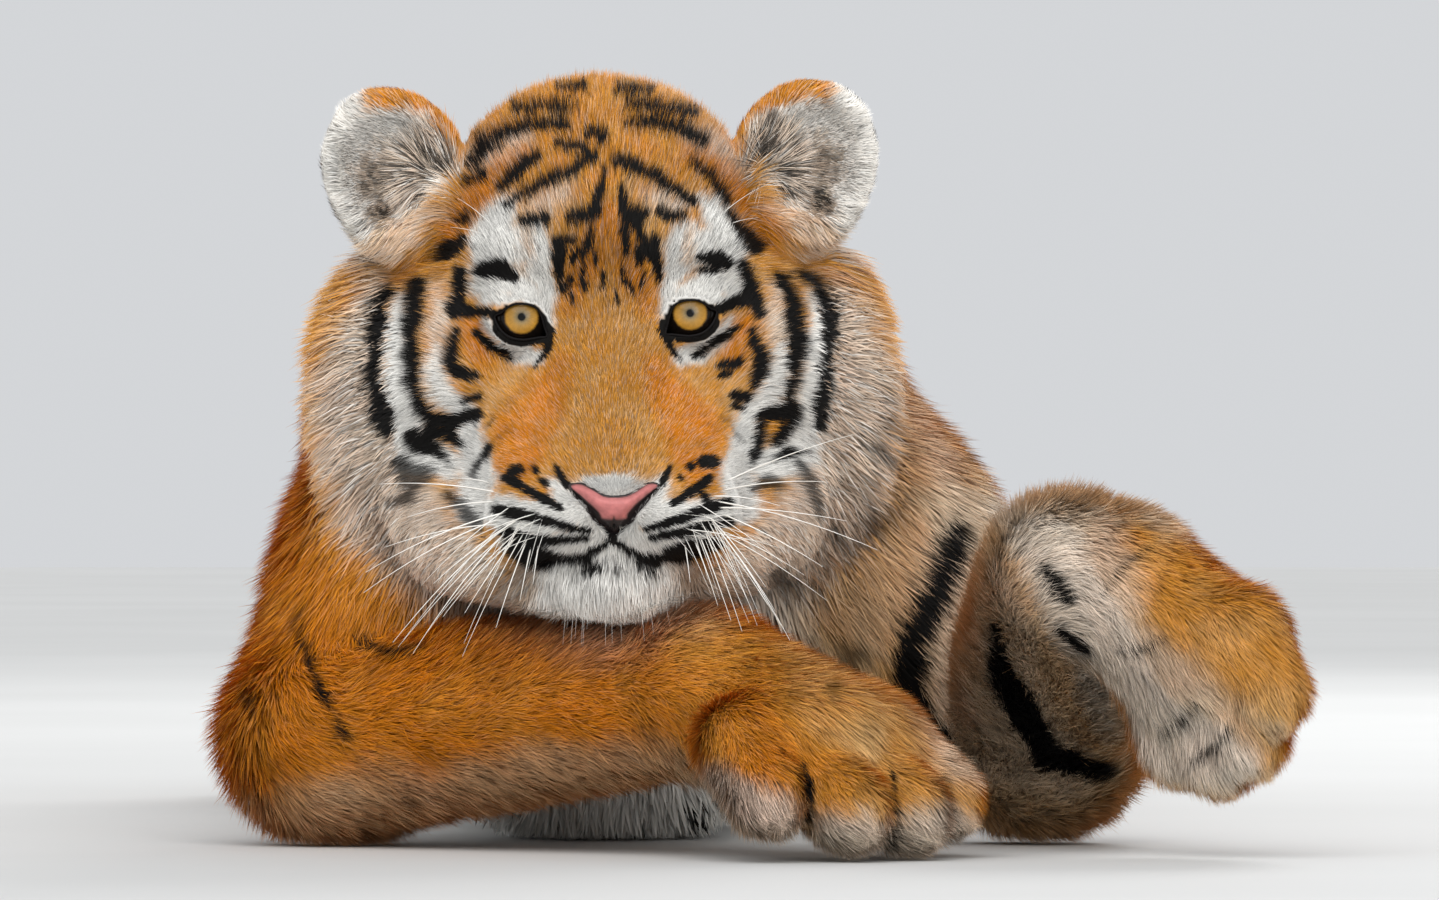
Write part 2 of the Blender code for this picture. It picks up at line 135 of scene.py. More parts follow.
def under_fur(part, coat):
    """How much of the coat's depth on the head is taken up by short dense hair, which the skin stands for."""
    if part == "lower_jaw":
        return 0.0
    return 0.45 * coat if coat < 1.5 else 0.2 * coat


def head_ball(part, centre, radii, coat, blend=1.5, turn=None):
    own, more = np.eye(3) if turn is None else turn, under_fur(part, coat)
    ball(part, on_head(*centre), np.array(radii) + more, coat - more, blend, HEAD_TURN @ own)


def head_bone(part, start, end, thick, coat, blend=1.5, flat=1.0, across=(1, 0, 0)):
    more = under_fur(part, coat)
    thick, across = (thick[0] + more, thick[1] + more), HEAD_TURN @ np.array(across, float)
    bone(part, on_head(*start), on_head(*end), thick, coat - more, blend, flat, across)


def curve_through(points, per_span, closed=False):
    """Points of a smooth curve through the given ones."""
    points = [np.array(p, float) for p in points]
    if closed:
        ends = [points[-1], *points, *points[:2]]
    else:
        ends = [2 * points[0] - points[1], *points, 2 * points[-1] - points[-2]]
    made = []
    for a, b, c, d in zip(ends, ends[1:], ends[2:], ends[3:]):
        for t in np.arange(per_span) / per_span:
            even = 2 * b + (c - a) * t + (2 * a - 5 * b + 4 * c - d) * t**2
            made.append(0.5 * (even + (3 * b - a - 3 * c + d) * t**3))
    return np.array(made if closed else [*made, points[-1]])


def add_trunk():
    ball("chest", (0, 24, 15.0), (12.0, 13, 14.8), 1.6, 4)
    ball("chest", (0, 41, 16.0), (13.6, 22, 16.3), 1.5, 5)  # rib cage
    ball("chest", (0, 31, 27.5), (7.2, 13, 9.2), 1.4, 4)  # withers
    ball("belly", (0, 66, 14.0), (13.2, 21, 14.6), 1.6, 5)
    bone("belly", (0, 52, 23.6), (0, 86, 24.2), (8.2, 7.6), 1.4, 5)  # loin
    ball("hips", (0, 96, 18.0), (11.2, 15, 14.2), 1.5, 4)
    ball("hips", (0, 106, 15.0), (8.2, 9.5, 11.0), 1.5, 4)
    for side in SIDES.values():
        ball("chest", (side * 7.4, 27, 24.5), (5.6, 9.5, 11.0), 1.3, 3.5, turned("x", 0.35))  # shoulder blade


def add_neck():
    bone("neck", (0, 14, 27), (0, 27, 23), (9.8, 11.4), 2.2, 4)
    ball("neck", (0, 17, 18.5), (10.5, 9, 9.5), 2.0, 4, lie=(0, 0.5, -1))


def add_head():
    head_ball("head", (0, 10.5, 4.5), (7.8, 8.0, 7.4), 1.4, 2)  # brain case
    head_ball("head", (0, 5.0, 3.2), (6.0, 4.6, 5.0), 0.9, 2)  # forehead
    head_ball("head", (0, 13, -2), (9, 7, 9), 2.0, 3)  # nape and throat
    for side in SIDES.values():
        head_ball("head", (side * 4.4, 2.6, 2.9), (2.7, 2.0, 1.7), 0.7, 1.5)  # brow
        head_ball("head", (side * 7.0, 6.5, -3.0), (4.4, 4.8, 5.6), 1.0, 2.5)  # cheek
        head_ball("head", (side * 10.2, 11, -5.0), (4.2, 4.0, 8.0), 2.0, 3, turned("y", side * 0.1))  # ruff
        head_bone("head", (side * 2.8, -2.2, -12.0), (side * 6.5, 6.0, -10.0), (2.9, 4.3), 1.2, 2)  # jaw
    head_bone("muzzle", (0, 2.3, -1.6), (0, -5.4, -9.4), (3.0, 2.3), 0.35, 1.5, 1.25)  # bridge
    for side in SIDES.values():
        head_bone("muzzle", (side * 3.6, 1.8, -6.5), (side * 3.2, -4.8, -9.8), (3.4, 2.6), 0.5, 1.6)
        head_ball("muzzle", (side * 3.0, -5.7, -10.6), (3.4, 3.3, 2.3), 0.35, 1.2, turned("y", side * 0.2))
    head_ball("muzzle", (0, -4.6, -11.0), (3.2, 3.3, 2.2), 0.35, 1.0)  # behind the lips
    head_ball("nose", (0, -7.9, -9.9), (2.2, 1.7, 1.3), 0.1, 0.5)
    head_ball("lower_jaw", (0, -4.3, -13.3), (3.6, 3.0, 2.3), 0.9, 1.0)
    for side in SIDES.values():
        head_ball("lids", (side * EYE_APART, EYE_RADIUS, 0), (EYE_RADIUS + 0.22,) * 3, 0.1, 0.8)


EAR_RADII = (3.7, 2.5, 4.5)
EAR_COAT = 0.45


def ear_masses(side):
    """(middle, radii, turn) of one ear, a cup that faces forwards, and of the scoop that hollows it."""
    lean = HEAD_TURN @ (turned("y", side * 0.42) @ turned("z", side * -0.22) @ turned("x", 0.1))
    cup = on_head(side * 10.9, 7.8, 7.9), np.array(EAR_RADII), lean
    scoop = on_head(side * 11.1, 5.6, 8.2), np.array((2.9, 2.4, 3.6)), lean
    return cup, scoop


def add_limbs():
    bone("upper_arm_right", (-8.5, 25, 24), (-10.5, 16.5, 15), (6.6, 6.0), 1.3, 4)
    bone("upper_arm_right", (-10.5, 16.5, 15), (-15.0, 12.5, 6.3), (6.0, 5.1), 1.3, 3)
    bone("forearm_right", (-14.2, 11.5, 6.1), (5.0, -3.6, 8.7), (5.0, 3.7), 1.0, 2)
    bone("upper_arm_left", (8.0, 25, 24.5), (13.5, 19.5, 16.5), (6.6, 6.2), 1.3, 4)
    bone("upper_arm_left", (13.5, 19.5, 16.5), (23.3, 15.0, 6.6), (6.2, 5.1), 1.3, 3)
    bone("forearm_left", (23.6, 13.5, 6.4), (24.6, -1.6, 14.5), (5.0, 4.2), 1.0, 2)
    for name, side in SIDES.items():
        ball(f"thigh_{name}", (side * 10.0, 93, 13.5), (7.2, 16, 12.2), 1.5, 4, lie=(0, -0.3, -1))
        bone(f"thigh_{name}", (side * 8.5, 99, 15), (side * 13.0, 80, 9.5), (8.5, 6.3), 1.4, 3)
        bone(f"shank_{name}", (side * 13.6, 79, 7.8), (side * 15.6, 103, 4.9), (5.0, 3.3), 1.0, 2)
        bone(f"foot_{name}", (side * 16.0, 105, 4.0), (side * 16.6, 87, 3.4), (3.0, 2.7), 0.8, 1.5)
    add_paw("paw_right", (5.0, -3.6, 8.7), (11.0, -8.0, 6.0), (0.60, -0.74, -0.34), (0.80, 0.60, -0.05),
            4.0, (3.7, 3.5), 2.0, 1.5)
    add_paw("paw_left", (27.4, -3.0, 14.2), (31.5, -6.0, 10.4), (0.30, -0.28, -0.91), (0.60, -0.74, 0.40),
            2.5)
    for name, side in SIDES.items():
        wrist, knuckles = (side * 16.6, 87, 3.4), (side * 16.8, 80.5, 3.0)
        add_paw(f"foot_{name}", wrist, knuckles, (0, -1, -0.05), (1, 0, 0), 2.4)


def add_paw(part, wrist, knuckles, forward, across, spread, thick=(3.6, 3.2), arc=1.4, drop=0.0):
    """The flat of a paw and its four toes, which point forward in an arched row and dip by drop."""
    forward, across, knuckles = (np.array(v, float) for v in (forward, across, knuckles))
    forward /= np.linalg.norm(forward)
    across -= forward * (across @ forward)
    across /= np.linalg.norm(across)
    bone(part, wrist, knuckles, thick, 0.8, 1.5)
    for place in (-1, 1):
        bone(part, wrist, knuckles + across * place * spread * 0.72, (3.1, 2.9), 0.8, 1.5)
    for place in (-1.5, -0.5, 0.5, 1.5):
        middle = abs(place) < 1
        reach = 3.2 + (arc if middle else 0)
        tip = knuckles + across * place * spread * 0.98 + forward * reach - (0, 0, drop)
        root = knuckles + across * place * spread * 0.80 - forward * 0.4
        bone(part, root, tip, (2.2, 2.0 if middle else 1.9), 0.7, 0.7)


TAIL_LINE = [
    (0, 108, 18), (0, 116, 14.5), (1.5, 124, 9.0), (6.0, 131, 5.0), (13, 134.5, 4.0), (21, 132, 3.9),
    (26.5, 125, 3.8), (28, 115, 3.7), (28, 104, 3.5), (27, 94, 3.2),
]
TAIL_PARTS = ("tail_base", "tail_middle", "tail_tip")


def add_tail():
    line = curve_through(TAIL_LINE, 3)
    thick = np.interp(np.linspace(0, 1, len(line)), [0, 0.15, 0.8, 1], [4.0, 3.2, 2.7, 2.2])
    for i, (a, b) in enumerate(zip(line, line[1:])):
        part = TAIL_PARTS[min(2, 3 * i // (len(line) - 1))]
        bone(part, a, b, (thick[i], thick[i + 1]), 1.2, 1.0)


# ---- Distances to the flesh -----------------------------------------------------------------------


def ball_distance(p, at, radii, turn):
    """Distance to an ellipsoid, good near its surface."""
    local = (p - at) @ turn
    near = np.linalg.norm(local / radii, axis=1)
    steep = np.linalg.norm(local / radii**2, axis=1)
    return near * (near - 1) / np.maximum(steep, 1e-6)


def bone_distance(p, mass):
    """Distance to a rounded, tapered and flattened length."""
    across, flat = mass["across"], mass["flat"]
    shrink = 1 / flat - 1

    def squeezed(q):
        return q + np.multiply.outer(q @ across, across) * shrink

    a, b = mass["at"], mass["to"]
    axis, local = squeezed(b - a), squeezed(p - a)
    t = np.clip(local @ axis / (axis @ axis), 0, 1)
    away = local - np.multiply.outer(t, axis)
    far = np.linalg.norm(away, axis=1)
    sideways = (away @ across) / np.maximum(far, 1e-6)
    slope = np.sqrt(1 + sideways**2 * (1 / flat**2 - 1))
    return (far - (mass["thick"][0] + t * (mass["thick"][1] - mass["thick"][0]))) / slope


def mass_distance(p, mass):
    if mass["kind"] == "ball":
        return ball_distance(p, mass["at"], mass["radii"], mass["turn"])
    return bone_distance(p, mass)


def joined(a, b, blend):
    """Union of two distances, with a fillet of that width."""
    h = np.maximum(blend - np.abs(a - b), 0) / blend
    return np.minimum(a, b) - h * h * blend / 4


def carved(a, b, blend):
    """The first shape less the second, with a rounded edge."""
    return -joined(-a, b, blend)


def reach_of(mass):
    """A box that holds the mass and its fillet."""
    room = mass["blend"] + 2.5
    if mass["kind"] == "ball":
        r = np.abs(mass["turn"]) @ mass["radii"] + room
        return mass["at"] - r, mass["at"] + r
    r = max(mass["thick"]) * max(1, mass["flat"]) + room
    return np.minimum(mass["at"], mass["to"]) - r, np.maximum(mass["at"], mass["to"]) + r


def near(p, low, high):
    return np.flatnonzero(((p > low) & (p < high)).all(1))


def around(p, middle, room):
    return near(p, middle - room, middle + room)


FAR = 60.0


def union_of(masses, p):
    total = np.full(len(p), FAR)
    for mass in masses:
        i = near(p, *reach_of(mass))
        if len(i):
            total[i] = joined(total[i], mass_distance(p[i], mass), mass["blend"])
    return total


def ear_distance(p, side):
    cup, hollow = (ball_distance(p, *mass) for mass in ear_masses(side))
    return carved(cup, hollow, 0.5)


AXIAL = ("chest", "belly", "hips", "neck", "head", "muzzle", "nose", "lower_jaw", "lids", *TAIL_PARTS)
ROOTS = ("upper_arm_right", "upper_arm_left", "thigh_right", "thigh_left")
CHAINS = [
    ("upper_arm_right", "forearm_right", "paw_right"),
    ("upper_arm_left", "forearm_left", "paw_left"),
    ("thigh_right", "shank_right", "foot_right"),
    ("thigh_left", "shank_left", "foot_left"),
]
MOUTH = [
    (0.3, -9.0, -12.3), (1.4, -8.8, -12.8), (2.8, -8.0, -13.1), (4.4, -6.3, -12.8), (5.6, -3.6, -11.9),
]


def eye_opening(p, side):
    """Distance to the hole between the lids."""
    local = (p - eye_middle(side)) @ HEAD_TURN
    hole = outline_distance(local[:, 0] * -side, local[:, 2], curve_through(LID_LINE, 4, closed=True))
    return np.maximum(hole, local[:, 1] + 0.4)


def mouth_line():
    """The line of the closed lips, from corner to corner."""
    half = [np.array(p) for p in MOUTH]
    mirrored = [p * (-1, 1, 1) + (0.6, 0, 0) for p in half]
    return [on_head(*p) for p in [*mirrored[:0:-1], *half]]


def body_distance(p, eyes_open=True):
    """Distance to the skin of the whole tiger. Limbs run into the trunk at their roots only."""
    total = union_of([m for m in FLESH if m["part"] in AXIAL + ROOTS], p)
    for side in SIDES.values():
        cup, _ = ear_masses(side)
        i = around(p, cup[0], 9)
        if len(i):
            total[i] = joined(total[i], ear_distance(p[i], side), 1.2)
        i = around(p, on_head(side * EYE_APART, 0, 0), 4)
        if len(i) and eyes_open:
            total[i] = carved(total[i], eye_opening(p[i], side), 0.15)
    i = around(p, on_head(0, -9, -10), 4)
    if len(i) and eyes_open:
        x, z = front(p[i])
        total[i] += 0.8 * most(smooth(0.0, -0.15, pad_distance(x, z)), drawn(x, z, NOSTRILS, 0.16))
    i = around(p, on_head(0, -6, -12.5), 8)
    if len(i):
        line = mouth_line()
        lips = [bone_distance(p[i], groove_length(a, b)) for a, b in zip(line, line[1:])]
        total[i] = carved(total[i], np.min(lips, axis=0), 0.3)
    for chain in CHAINS:
        total = joined(total, union_of([m for m in FLESH if m["part"] in chain], p), 0.5)
    return total


def groove_length(a, b):
    return {"at": a, "to": b, "thick": (0.3, 0.3), "flat": 1.0, "across": np.array([0, 0, 1.0])}


# ---- The skin -------------------------------------------------------------------------------------


def spaced(low, high, fine_low, fine_high):
    """Grid places from low to high, closer together between the fine limits."""
    spans = ((low, fine_low, STEP), (fine_low, fine_high, FINE_STEP), (fine_high, high, STEP))
    return np.concatenate([np.arange(*span) for span in spans])


def values_on(axes):
    """The body distance at every place of a grid, worked out in slabs."""
    shape = [len(a) for a in axes]
    values = np.empty(shape, np.float32)
    for j in range(0, shape[1], 24):
        mesh = np.meshgrid(axes[0], axes[1][j : j + 24], axes[2], indexing="ij")
        p = np.stack([m.ravel() for m in mesh], 1)
        values[:, j : j + 24] = body_distance(p).reshape(mesh[0].shape)
    return values


def surface_net(values, axes):
    """(points, quads) of the surface where a grid of values crosses zero."""
    inside, size = values < 0, np.array(values.shape)
    corners = itertools.product((0, 1), repeat=3)
    count = np.zeros(size - 1, np.int8)
    for i, j, k in corners:
        count += inside[i : size[0] - 1 + i, j : size[1] - 1 + j, k : size[2] - 1 + k]
    active = (count > 0) & (count < 8)
    index = np.full(active.shape, -1, np.int64)
    index[active] = np.arange(active.sum())
    cells = np.argwhere(active)
    total, hits = np.zeros((len(cells), 3)), np.zeros(len(cells))
    quads = []
    for axis in range(3):
        along, u, v = (np.eye(3, dtype=int)[(axis + step) % 3] for step in range(3))
        for i, j in itertools.product((0, 1), repeat=2):
            start = cells + i * u + j * v
            v0, v1 = values[tuple(start.T)], values[tuple((start + along).T)]
            cross = (v0 < 0) != (v1 < 0)
            t = np.where(cross, v0 / np.where(cross, v0 - v1, 1), 0)
            total += cross[:, None] * (i * u + j * v + t[:, None] * along)
            hits += cross
        first = inside[tuple(slice(0, s - a) for s, a in zip(size, along))]
        second = inside[tuple(slice(a, s) for s, a in zip(size, along))]
        for flip, edge in ((False, first & ~second), (True, ~first & second)):
            e = np.argwhere(edge)
            ring = [index[tuple(x.T)] for x in (e, e - u, e - u - v, e - v)]
            quads.append(np.stack(ring[::-1] if flip else ring, 1))
    spots = cells + total / hits[:, None]
    points = np.stack([np.interp(spots[:, k], np.arange(size[k]), axes[k]) for k in range(3)], 1)
    return points, np.concatenate(quads)


def settle(points, rounds=4):
    """Moves points onto the skin."""
    nudge = 0.03
    for _ in range(rounds):
        d = body_distance(points)
        slope = np.stack([(body_distance(points + nudge * e) - d) / nudge for e in np.eye(3)], 1)
        steep = np.maximum((slope**2).sum(1), 0.3)
        points = points - np.clip(d / steep, -0.3, 0.3)[:, None] * slope
    points[:, 2] = np.maximum(points[:, 2], 0.05)
    return points


def placed(name, data):
    """A new object of the scene, with this data."""
    made = bpy.data.objects.new(name, data)
    bpy.context.scene.collection.objects.link(made)
    return made


def reworked(mesh, *changes):
    """Puts a mesh through changes, each made to it as a bmesh."""
    bm = bmesh.new()
    bm.from_mesh(mesh)
    for change in changes:
        change(bm)
    bm.to_mesh(mesh)
    bm.free()


def put_vectors(mesh, name, values):
    mesh.attributes.new(name, "FLOAT_VECTOR", "POINT").data.foreach_set("vector", np.ravel(values))


def new_piece(name, points, faces, material):
    """A mesh in the body frame, as a piece of the model."""
    mesh = bpy.data.meshes.new(name)
    mesh.from_pydata(((points + SHIFT) * CM).tolist(), [], [list(f) for f in faces])
    mesh.shade_smooth()
    mesh.materials.append(material)
    piece = placed(name, mesh)
    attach(piece, "root")
    return piece


def frame_shift():
    """How far the model's origin lies from the body frame's, found from where its eyes are."""
    eyes = np.mean([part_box("eye_right"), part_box("eye_left")], axis=(0, 1)) / CM
    return eyes - on_head(0, EYE_RADIUS, 0)


# ---- The markings ---------------------------------------------------------------------------------
# Each stripe is a line of (across, up, width) in centimetres on the front of the tiger, from the point
# between the eyes. Across is towards the tiger's left.

FOREHEAD_STRIPES = [
    [(-0.1, 8.0, 0.15), (-0.2, 7.2, 0.3), (-0.45, 6.4, 0.4), (-0.6, 5.6, 0.6), (-1.2, 5.5, 0.7),
     (-2.0, 5.3, 0.45)],
    [(0.8, 7.0, 0.2), (0.9, 6.3, 0.35), (1.1, 5.7, 0.7), (1.5, 5.1, 0.8)],
    [(1.3, 5.7, 0.4), (2.0, 5.6, 0.5)], [(2.9, 5.7, 0.4), (3.3, 5.4, 0.5), (4.2, 5.4, 0.35)],
    [(-4.5, 5.2, 0.35), (-3.3, 5.3, 0.5)],
    [(-5.4, 5.9, 0.25), (-4.5, 6.6, 0.4), (-3.0, 7.4, 0.5), (-1.8, 7.9, 0.35), (-0.7, 8.7, 0.5)],
    [(0.4, 8.5, 0.4), (1.3, 8.2, 0.7), (2.8, 7.5, 0.45), (3.6, 6.9, 0.35), (4.7, 6.1, 0.3)],
    [(-5.8, 6.9, 0.3), (-5.0, 7.6, 0.65), (-3.7, 8.7, 0.4)],
    [(4.6, 8.4, 0.3), (5.5, 7.7, 0.4), (6.1, 7.0, 0.45), (6.5, 6.2, 0.4)],
    [(6.6, 5.5, 0.35), (7.1, 4.8, 0.5), (8.1, 3.6, 0.8)],
    [(-1.0, 9.9, 0.5), (-0.2, 9.8, 0.6), (-0.3, 9.3, 0.3)],
    [(-2.7, 9.3, 0.3), (-1.9, 9.2, 0.45), (-1.1, 9.1, 0.3)],
    [(-6.7, 9.5, 0.5), (-5.5, 9.9, 0.55), (-4.1, 10.3, 0.6), (-2.1, 10.3, 0.4)],
    [(1.1, 10.4, 0.3), (2.8, 10.4, 0.5), (3.9, 10.2, 0.6), (5.3, 9.4, 0.5)],
    [(-4.9, 11.2, 0.35), (-3.4, 11.35, 0.45), (-1.6, 11.4, 0.35)],
    [(1.2, 11.4, 0.3), (3.0, 11.3, 0.45), (4.7, 10.9, 0.4)],
    [(-7.4, 8.3, 0.4), (-6.6, 8.9, 0.5), (-5.6, 9.2, 0.3)], [(-2.6, 12.2, 0.25), (-1.2, 12.3, 0.3)],
    [(0.6, 12.2, 0.3), (2.4, 12.2, 0.25)], [(-2.7, 4.1, 0.3), (-2.5, 3.4, 0.7), (-2.6, 2.2, 0.35)],
    [(-2.4, 4.1, 0.3), (-1.7, 4.2, 0.25)], [(-0.8, 4.7, 0.25), (-1.0, 3.9, 0.25), (-1.3, 3.3, 0.2)],
    [(-1.2, 2.6, 0.15), (-1.4, 1.8, 0.15)], [(-1.9, 2.0, 0.25), (-2.3, 1.4, 0.25)],
    [(1.0, 4.7, 0.35), (1.1, 4.1, 0.4), (1.1, 3.4, 0.2)],
    [(1.7, 4.6, 0.2), (2.1, 4.0, 0.35), (2.2, 3.2, 0.2)],
    [(2.6, 4.2, 0.3), (2.7, 3.2, 0.45), (2.9, 2.1, 0.3)], [(1.2, 1.9, 0.2), (1.5, 1.3, 0.15)],
    [(-2.35, 2.3, 0.12), (-2.5, 1.6, 0.16)], [(-1.5, 3.65, 0.14), (-1.85, 2.95, 0.16)],
    [(-1.0, 1.95, 0.12), (-1.15, 1.4, 0.12)], [(-0.15, 2.3, 0.1), (-0.2, 1.6, 0.12)],
    [(0.9, 2.6, 0.12), (1.05, 1.8, 0.14)], [(1.6, 3.65, 0.14), (1.85, 2.95, 0.16)],
    [(2.1, 2.3, 0.12), (1.9, 1.6, 0.14)], [(-1.85, 1.25, 0.1), (-1.9, 0.75, 0.12)],
    [(0.55, 1.25, 0.1), (0.6, 0.85, 0.1)], [(-0.5, 3.4, 0.12), (-0.55, 2.8, 0.12)],
    [(-7.6, 7.2, 0.35), (-6.6, 7.7, 0.5)], [(-8.1, 5.1, 0.3), (-7.4, 5.5, 0.35)],
    [(-9.1, 3.1, 0.6), (-8.4, 3.5, 1.0), (-7.7, 4.1, 0.5)],
    [(-6.8, 2.5, 0.7), (-5.7, 2.6, 0.8), (-4.9, 2.1, 0.25)],
    [(5.1, 3.2, 0.3), (6.1, 3.0, 0.85), (6.5, 2.9, 0.6)], [(5.0, 2.5, 0.15), (5.9, 2.4, 0.2)],
]
EYE_STRIPES = [
    [(-7.9, 2.4, 0.4), (-8.0, 1.4, 0.6), (-8.1, 0.4, 0.8)],
    [(-8.2, 0.3, 0.7), (-7.0, 0.3, 0.45), (-6.0, 0.15, 0.3), (-5.7, 0.0, 0.25)],
    [(7.4, 2.8, 0.4), (7.7, 2.0, 0.6), (8.0, 1.2, 0.8), (8.3, 0.2, 0.5)],
    [(8.0, 0.9, 0.8), (7.0, 0.8, 0.5), (6.3, 0.5, 0.4), (5.8, 0.3, 0.3)],
    [(-8.1, -0.8, 0.4), (-8.3, -1.6, 0.6), (-8.6, -2.3, 0.6), (-8.3, -2.9, 0.6), (-7.5, -3.1, 0.5),
     (-6.9, -3.1, 0.3)],
    [(7.9, -0.7, 0.35), (8.2, -1.5, 0.6), (8.5, -2.3, 0.8), (8.4, -3.0, 0.7), (8.0, -3.7, 0.3)],
    [(-7.1, -0.9, 0.3), (-6.3, -1.6, 0.4), (-5.2, -2.2, 0.14)],
    [(7.1, -0.6, 0.25), (6.1, -1.3, 0.3), (5.3, -1.9, 0.2), (4.8, -2.1, 0.1)],
    [(6.1, -2.6, 0.3), (7.2, -2.4, 0.45)], [(-7.7, -4.5, 0.3), (-6.9, -4.3, 0.35)],
    [(7.0, -4.2, 0.45), (7.8, -4.3, 0.35)], [(6.9, -4.8, 0.2), (7.3, -4.9, 0.3)],
    [(6.1, -3.2, 0.15), (6.6, -3.1, 0.15)],
]
CHEEK_STRIPES = [
    [(-10.3, 1.5, 0.9), (-10.4, 0.5, 0.85), (-10.6, -1.0, 0.5), (-10.5, -2.5, 0.6), (-10.5, -3.7, 0.5),
     (-10.2, -4.6, 0.4), (-9.6, -5.5, 0.6)],
    [(-9.3, -5.6, 0.5), (-8.2, -5.7, 0.65), (-6.9, -5.2, 0.4)],
    [(-10.4, -6.5, 0.7), (-10.0, -6.9, 1.0), (-9.2, -7.2, 0.5), (-8.6, -7.8, 0.2)],
    [(-9.4, -6.2, 0.5), (-8.4, -6.4, 0.5), (-7.9, -6.8, 0.3)],
    [(-12.0, 1.2, 0.8), (-12.4, 0.5, 0.7), (-12.5, -0.6, 0.8), (-12.5, -1.6, 0.4), (-12.6, -2.6, 0.35),
     (-12.7, -3.6, 0.4), (-12.4, -4.5, 0.7), (-12.1, -5.4, 1.0), (-11.8, -6.3, 0.5)],
    [(-11.2, -8.1, 0.8), (-10.6, -8.7, 1.5), (-9.7, -8.5, 0.8)],
    [(-10.7, -9.0, 0.9), (-10.5, -9.8, 0.6), (-11.8, -10.1, 0.3)],
    [(-8.5, -9.6, 0.4), (-7.9, -10.1, 0.7), (-7.4, -10.8, 0.6), (-6.9, -11.2, 0.4)],
    [(-6.3, -7.0, 0.2), (-6.8, -7.8, 0.3), (-7.2, -8.5, 0.25)],
    [(9.3, 2.1, 0.4), (9.9, 1.4, 0.6), (10.2, 0.3, 0.8), (10.4, -1.0, 0.8), (10.3, -2.3, 0.6),
     (10.2, -3.3, 0.4), (9.9, -4.6, 0.3)],
    [(8.4, -5.4, 0.45), (9.3, -5.3, 0.6), (10.2, -5.0, 0.5)],
    [(10.2, -5.4, 0.5), (9.8, -6.1, 0.6), (9.2, -6.7, 0.4)],
    [(8.4, -5.8, 0.4), (8.2, -7.0, 0.35), (7.9, -7.9, 0.15)],
    [(10.7, 2.2, 0.4), (11.5, 1.6, 0.6), (12.0, 0.6, 0.9), (12.2, -0.4, 0.6), (12.1, -1.8, 0.3),
     (11.9, -3.0, 0.35), (11.7, -4.2, 0.5), (11.6, -5.2, 0.8), (11.5, -6.0, 0.4)],
    [(10.4, -8.0, 0.4), (11.0, -8.9, 0.8), (11.3, -9.8, 0.6), (11.5, -10.7, 0.2)],
    [(8.0, -9.3, 0.3), (8.8, -8.9, 0.6), (9.5, -9.1, 0.4)],
    [(9.4, -7.6, 0.2), (10.0, -7.3, 0.3), (10.9, -7.4, 0.15)],
]
FAINT_STRIPES = [
    [(14.2, -7.0, 0.6), (15.0, -7.6, 0.9), (15.8, -8.2, 0.6)],
    [(14.5, -10.2, 0.8), (14.5, -11.4, 1.2), (13.8, -12.6, 0.9)], [(9.4, -14.2, 1.6), (10.6, -15.6, 1.8)],
    [(12.0, -11.6, 0.7), (12.8, -12.6, 0.9)], [(13.4, -14.2, 1.2), (14.4, -15.8, 1.4)],
    [(15.4, -4.4, 0.6), (15.6, -6.2, 1.0)], [(-5.6, -6.2, 0.15), (-6.4, -6.9, 0.25)],
    [(-6.0, -5.5, 0.15), (-6.9, -6.2, 0.3)], [(6.2, -5.4, 0.25), (6.6, -5.9, 0.3), (7.2, -6.7, 0.35)],
    [(-14.0, -8.6, 0.4), (-13.0, -8.4, 0.3)], [(-13.5, -9.8, 0.6), (-12.6, -9.2, 0.3)],
    [(-12.4, -12.8, 0.6), (-11.0, -12.2, 0.4)],
]
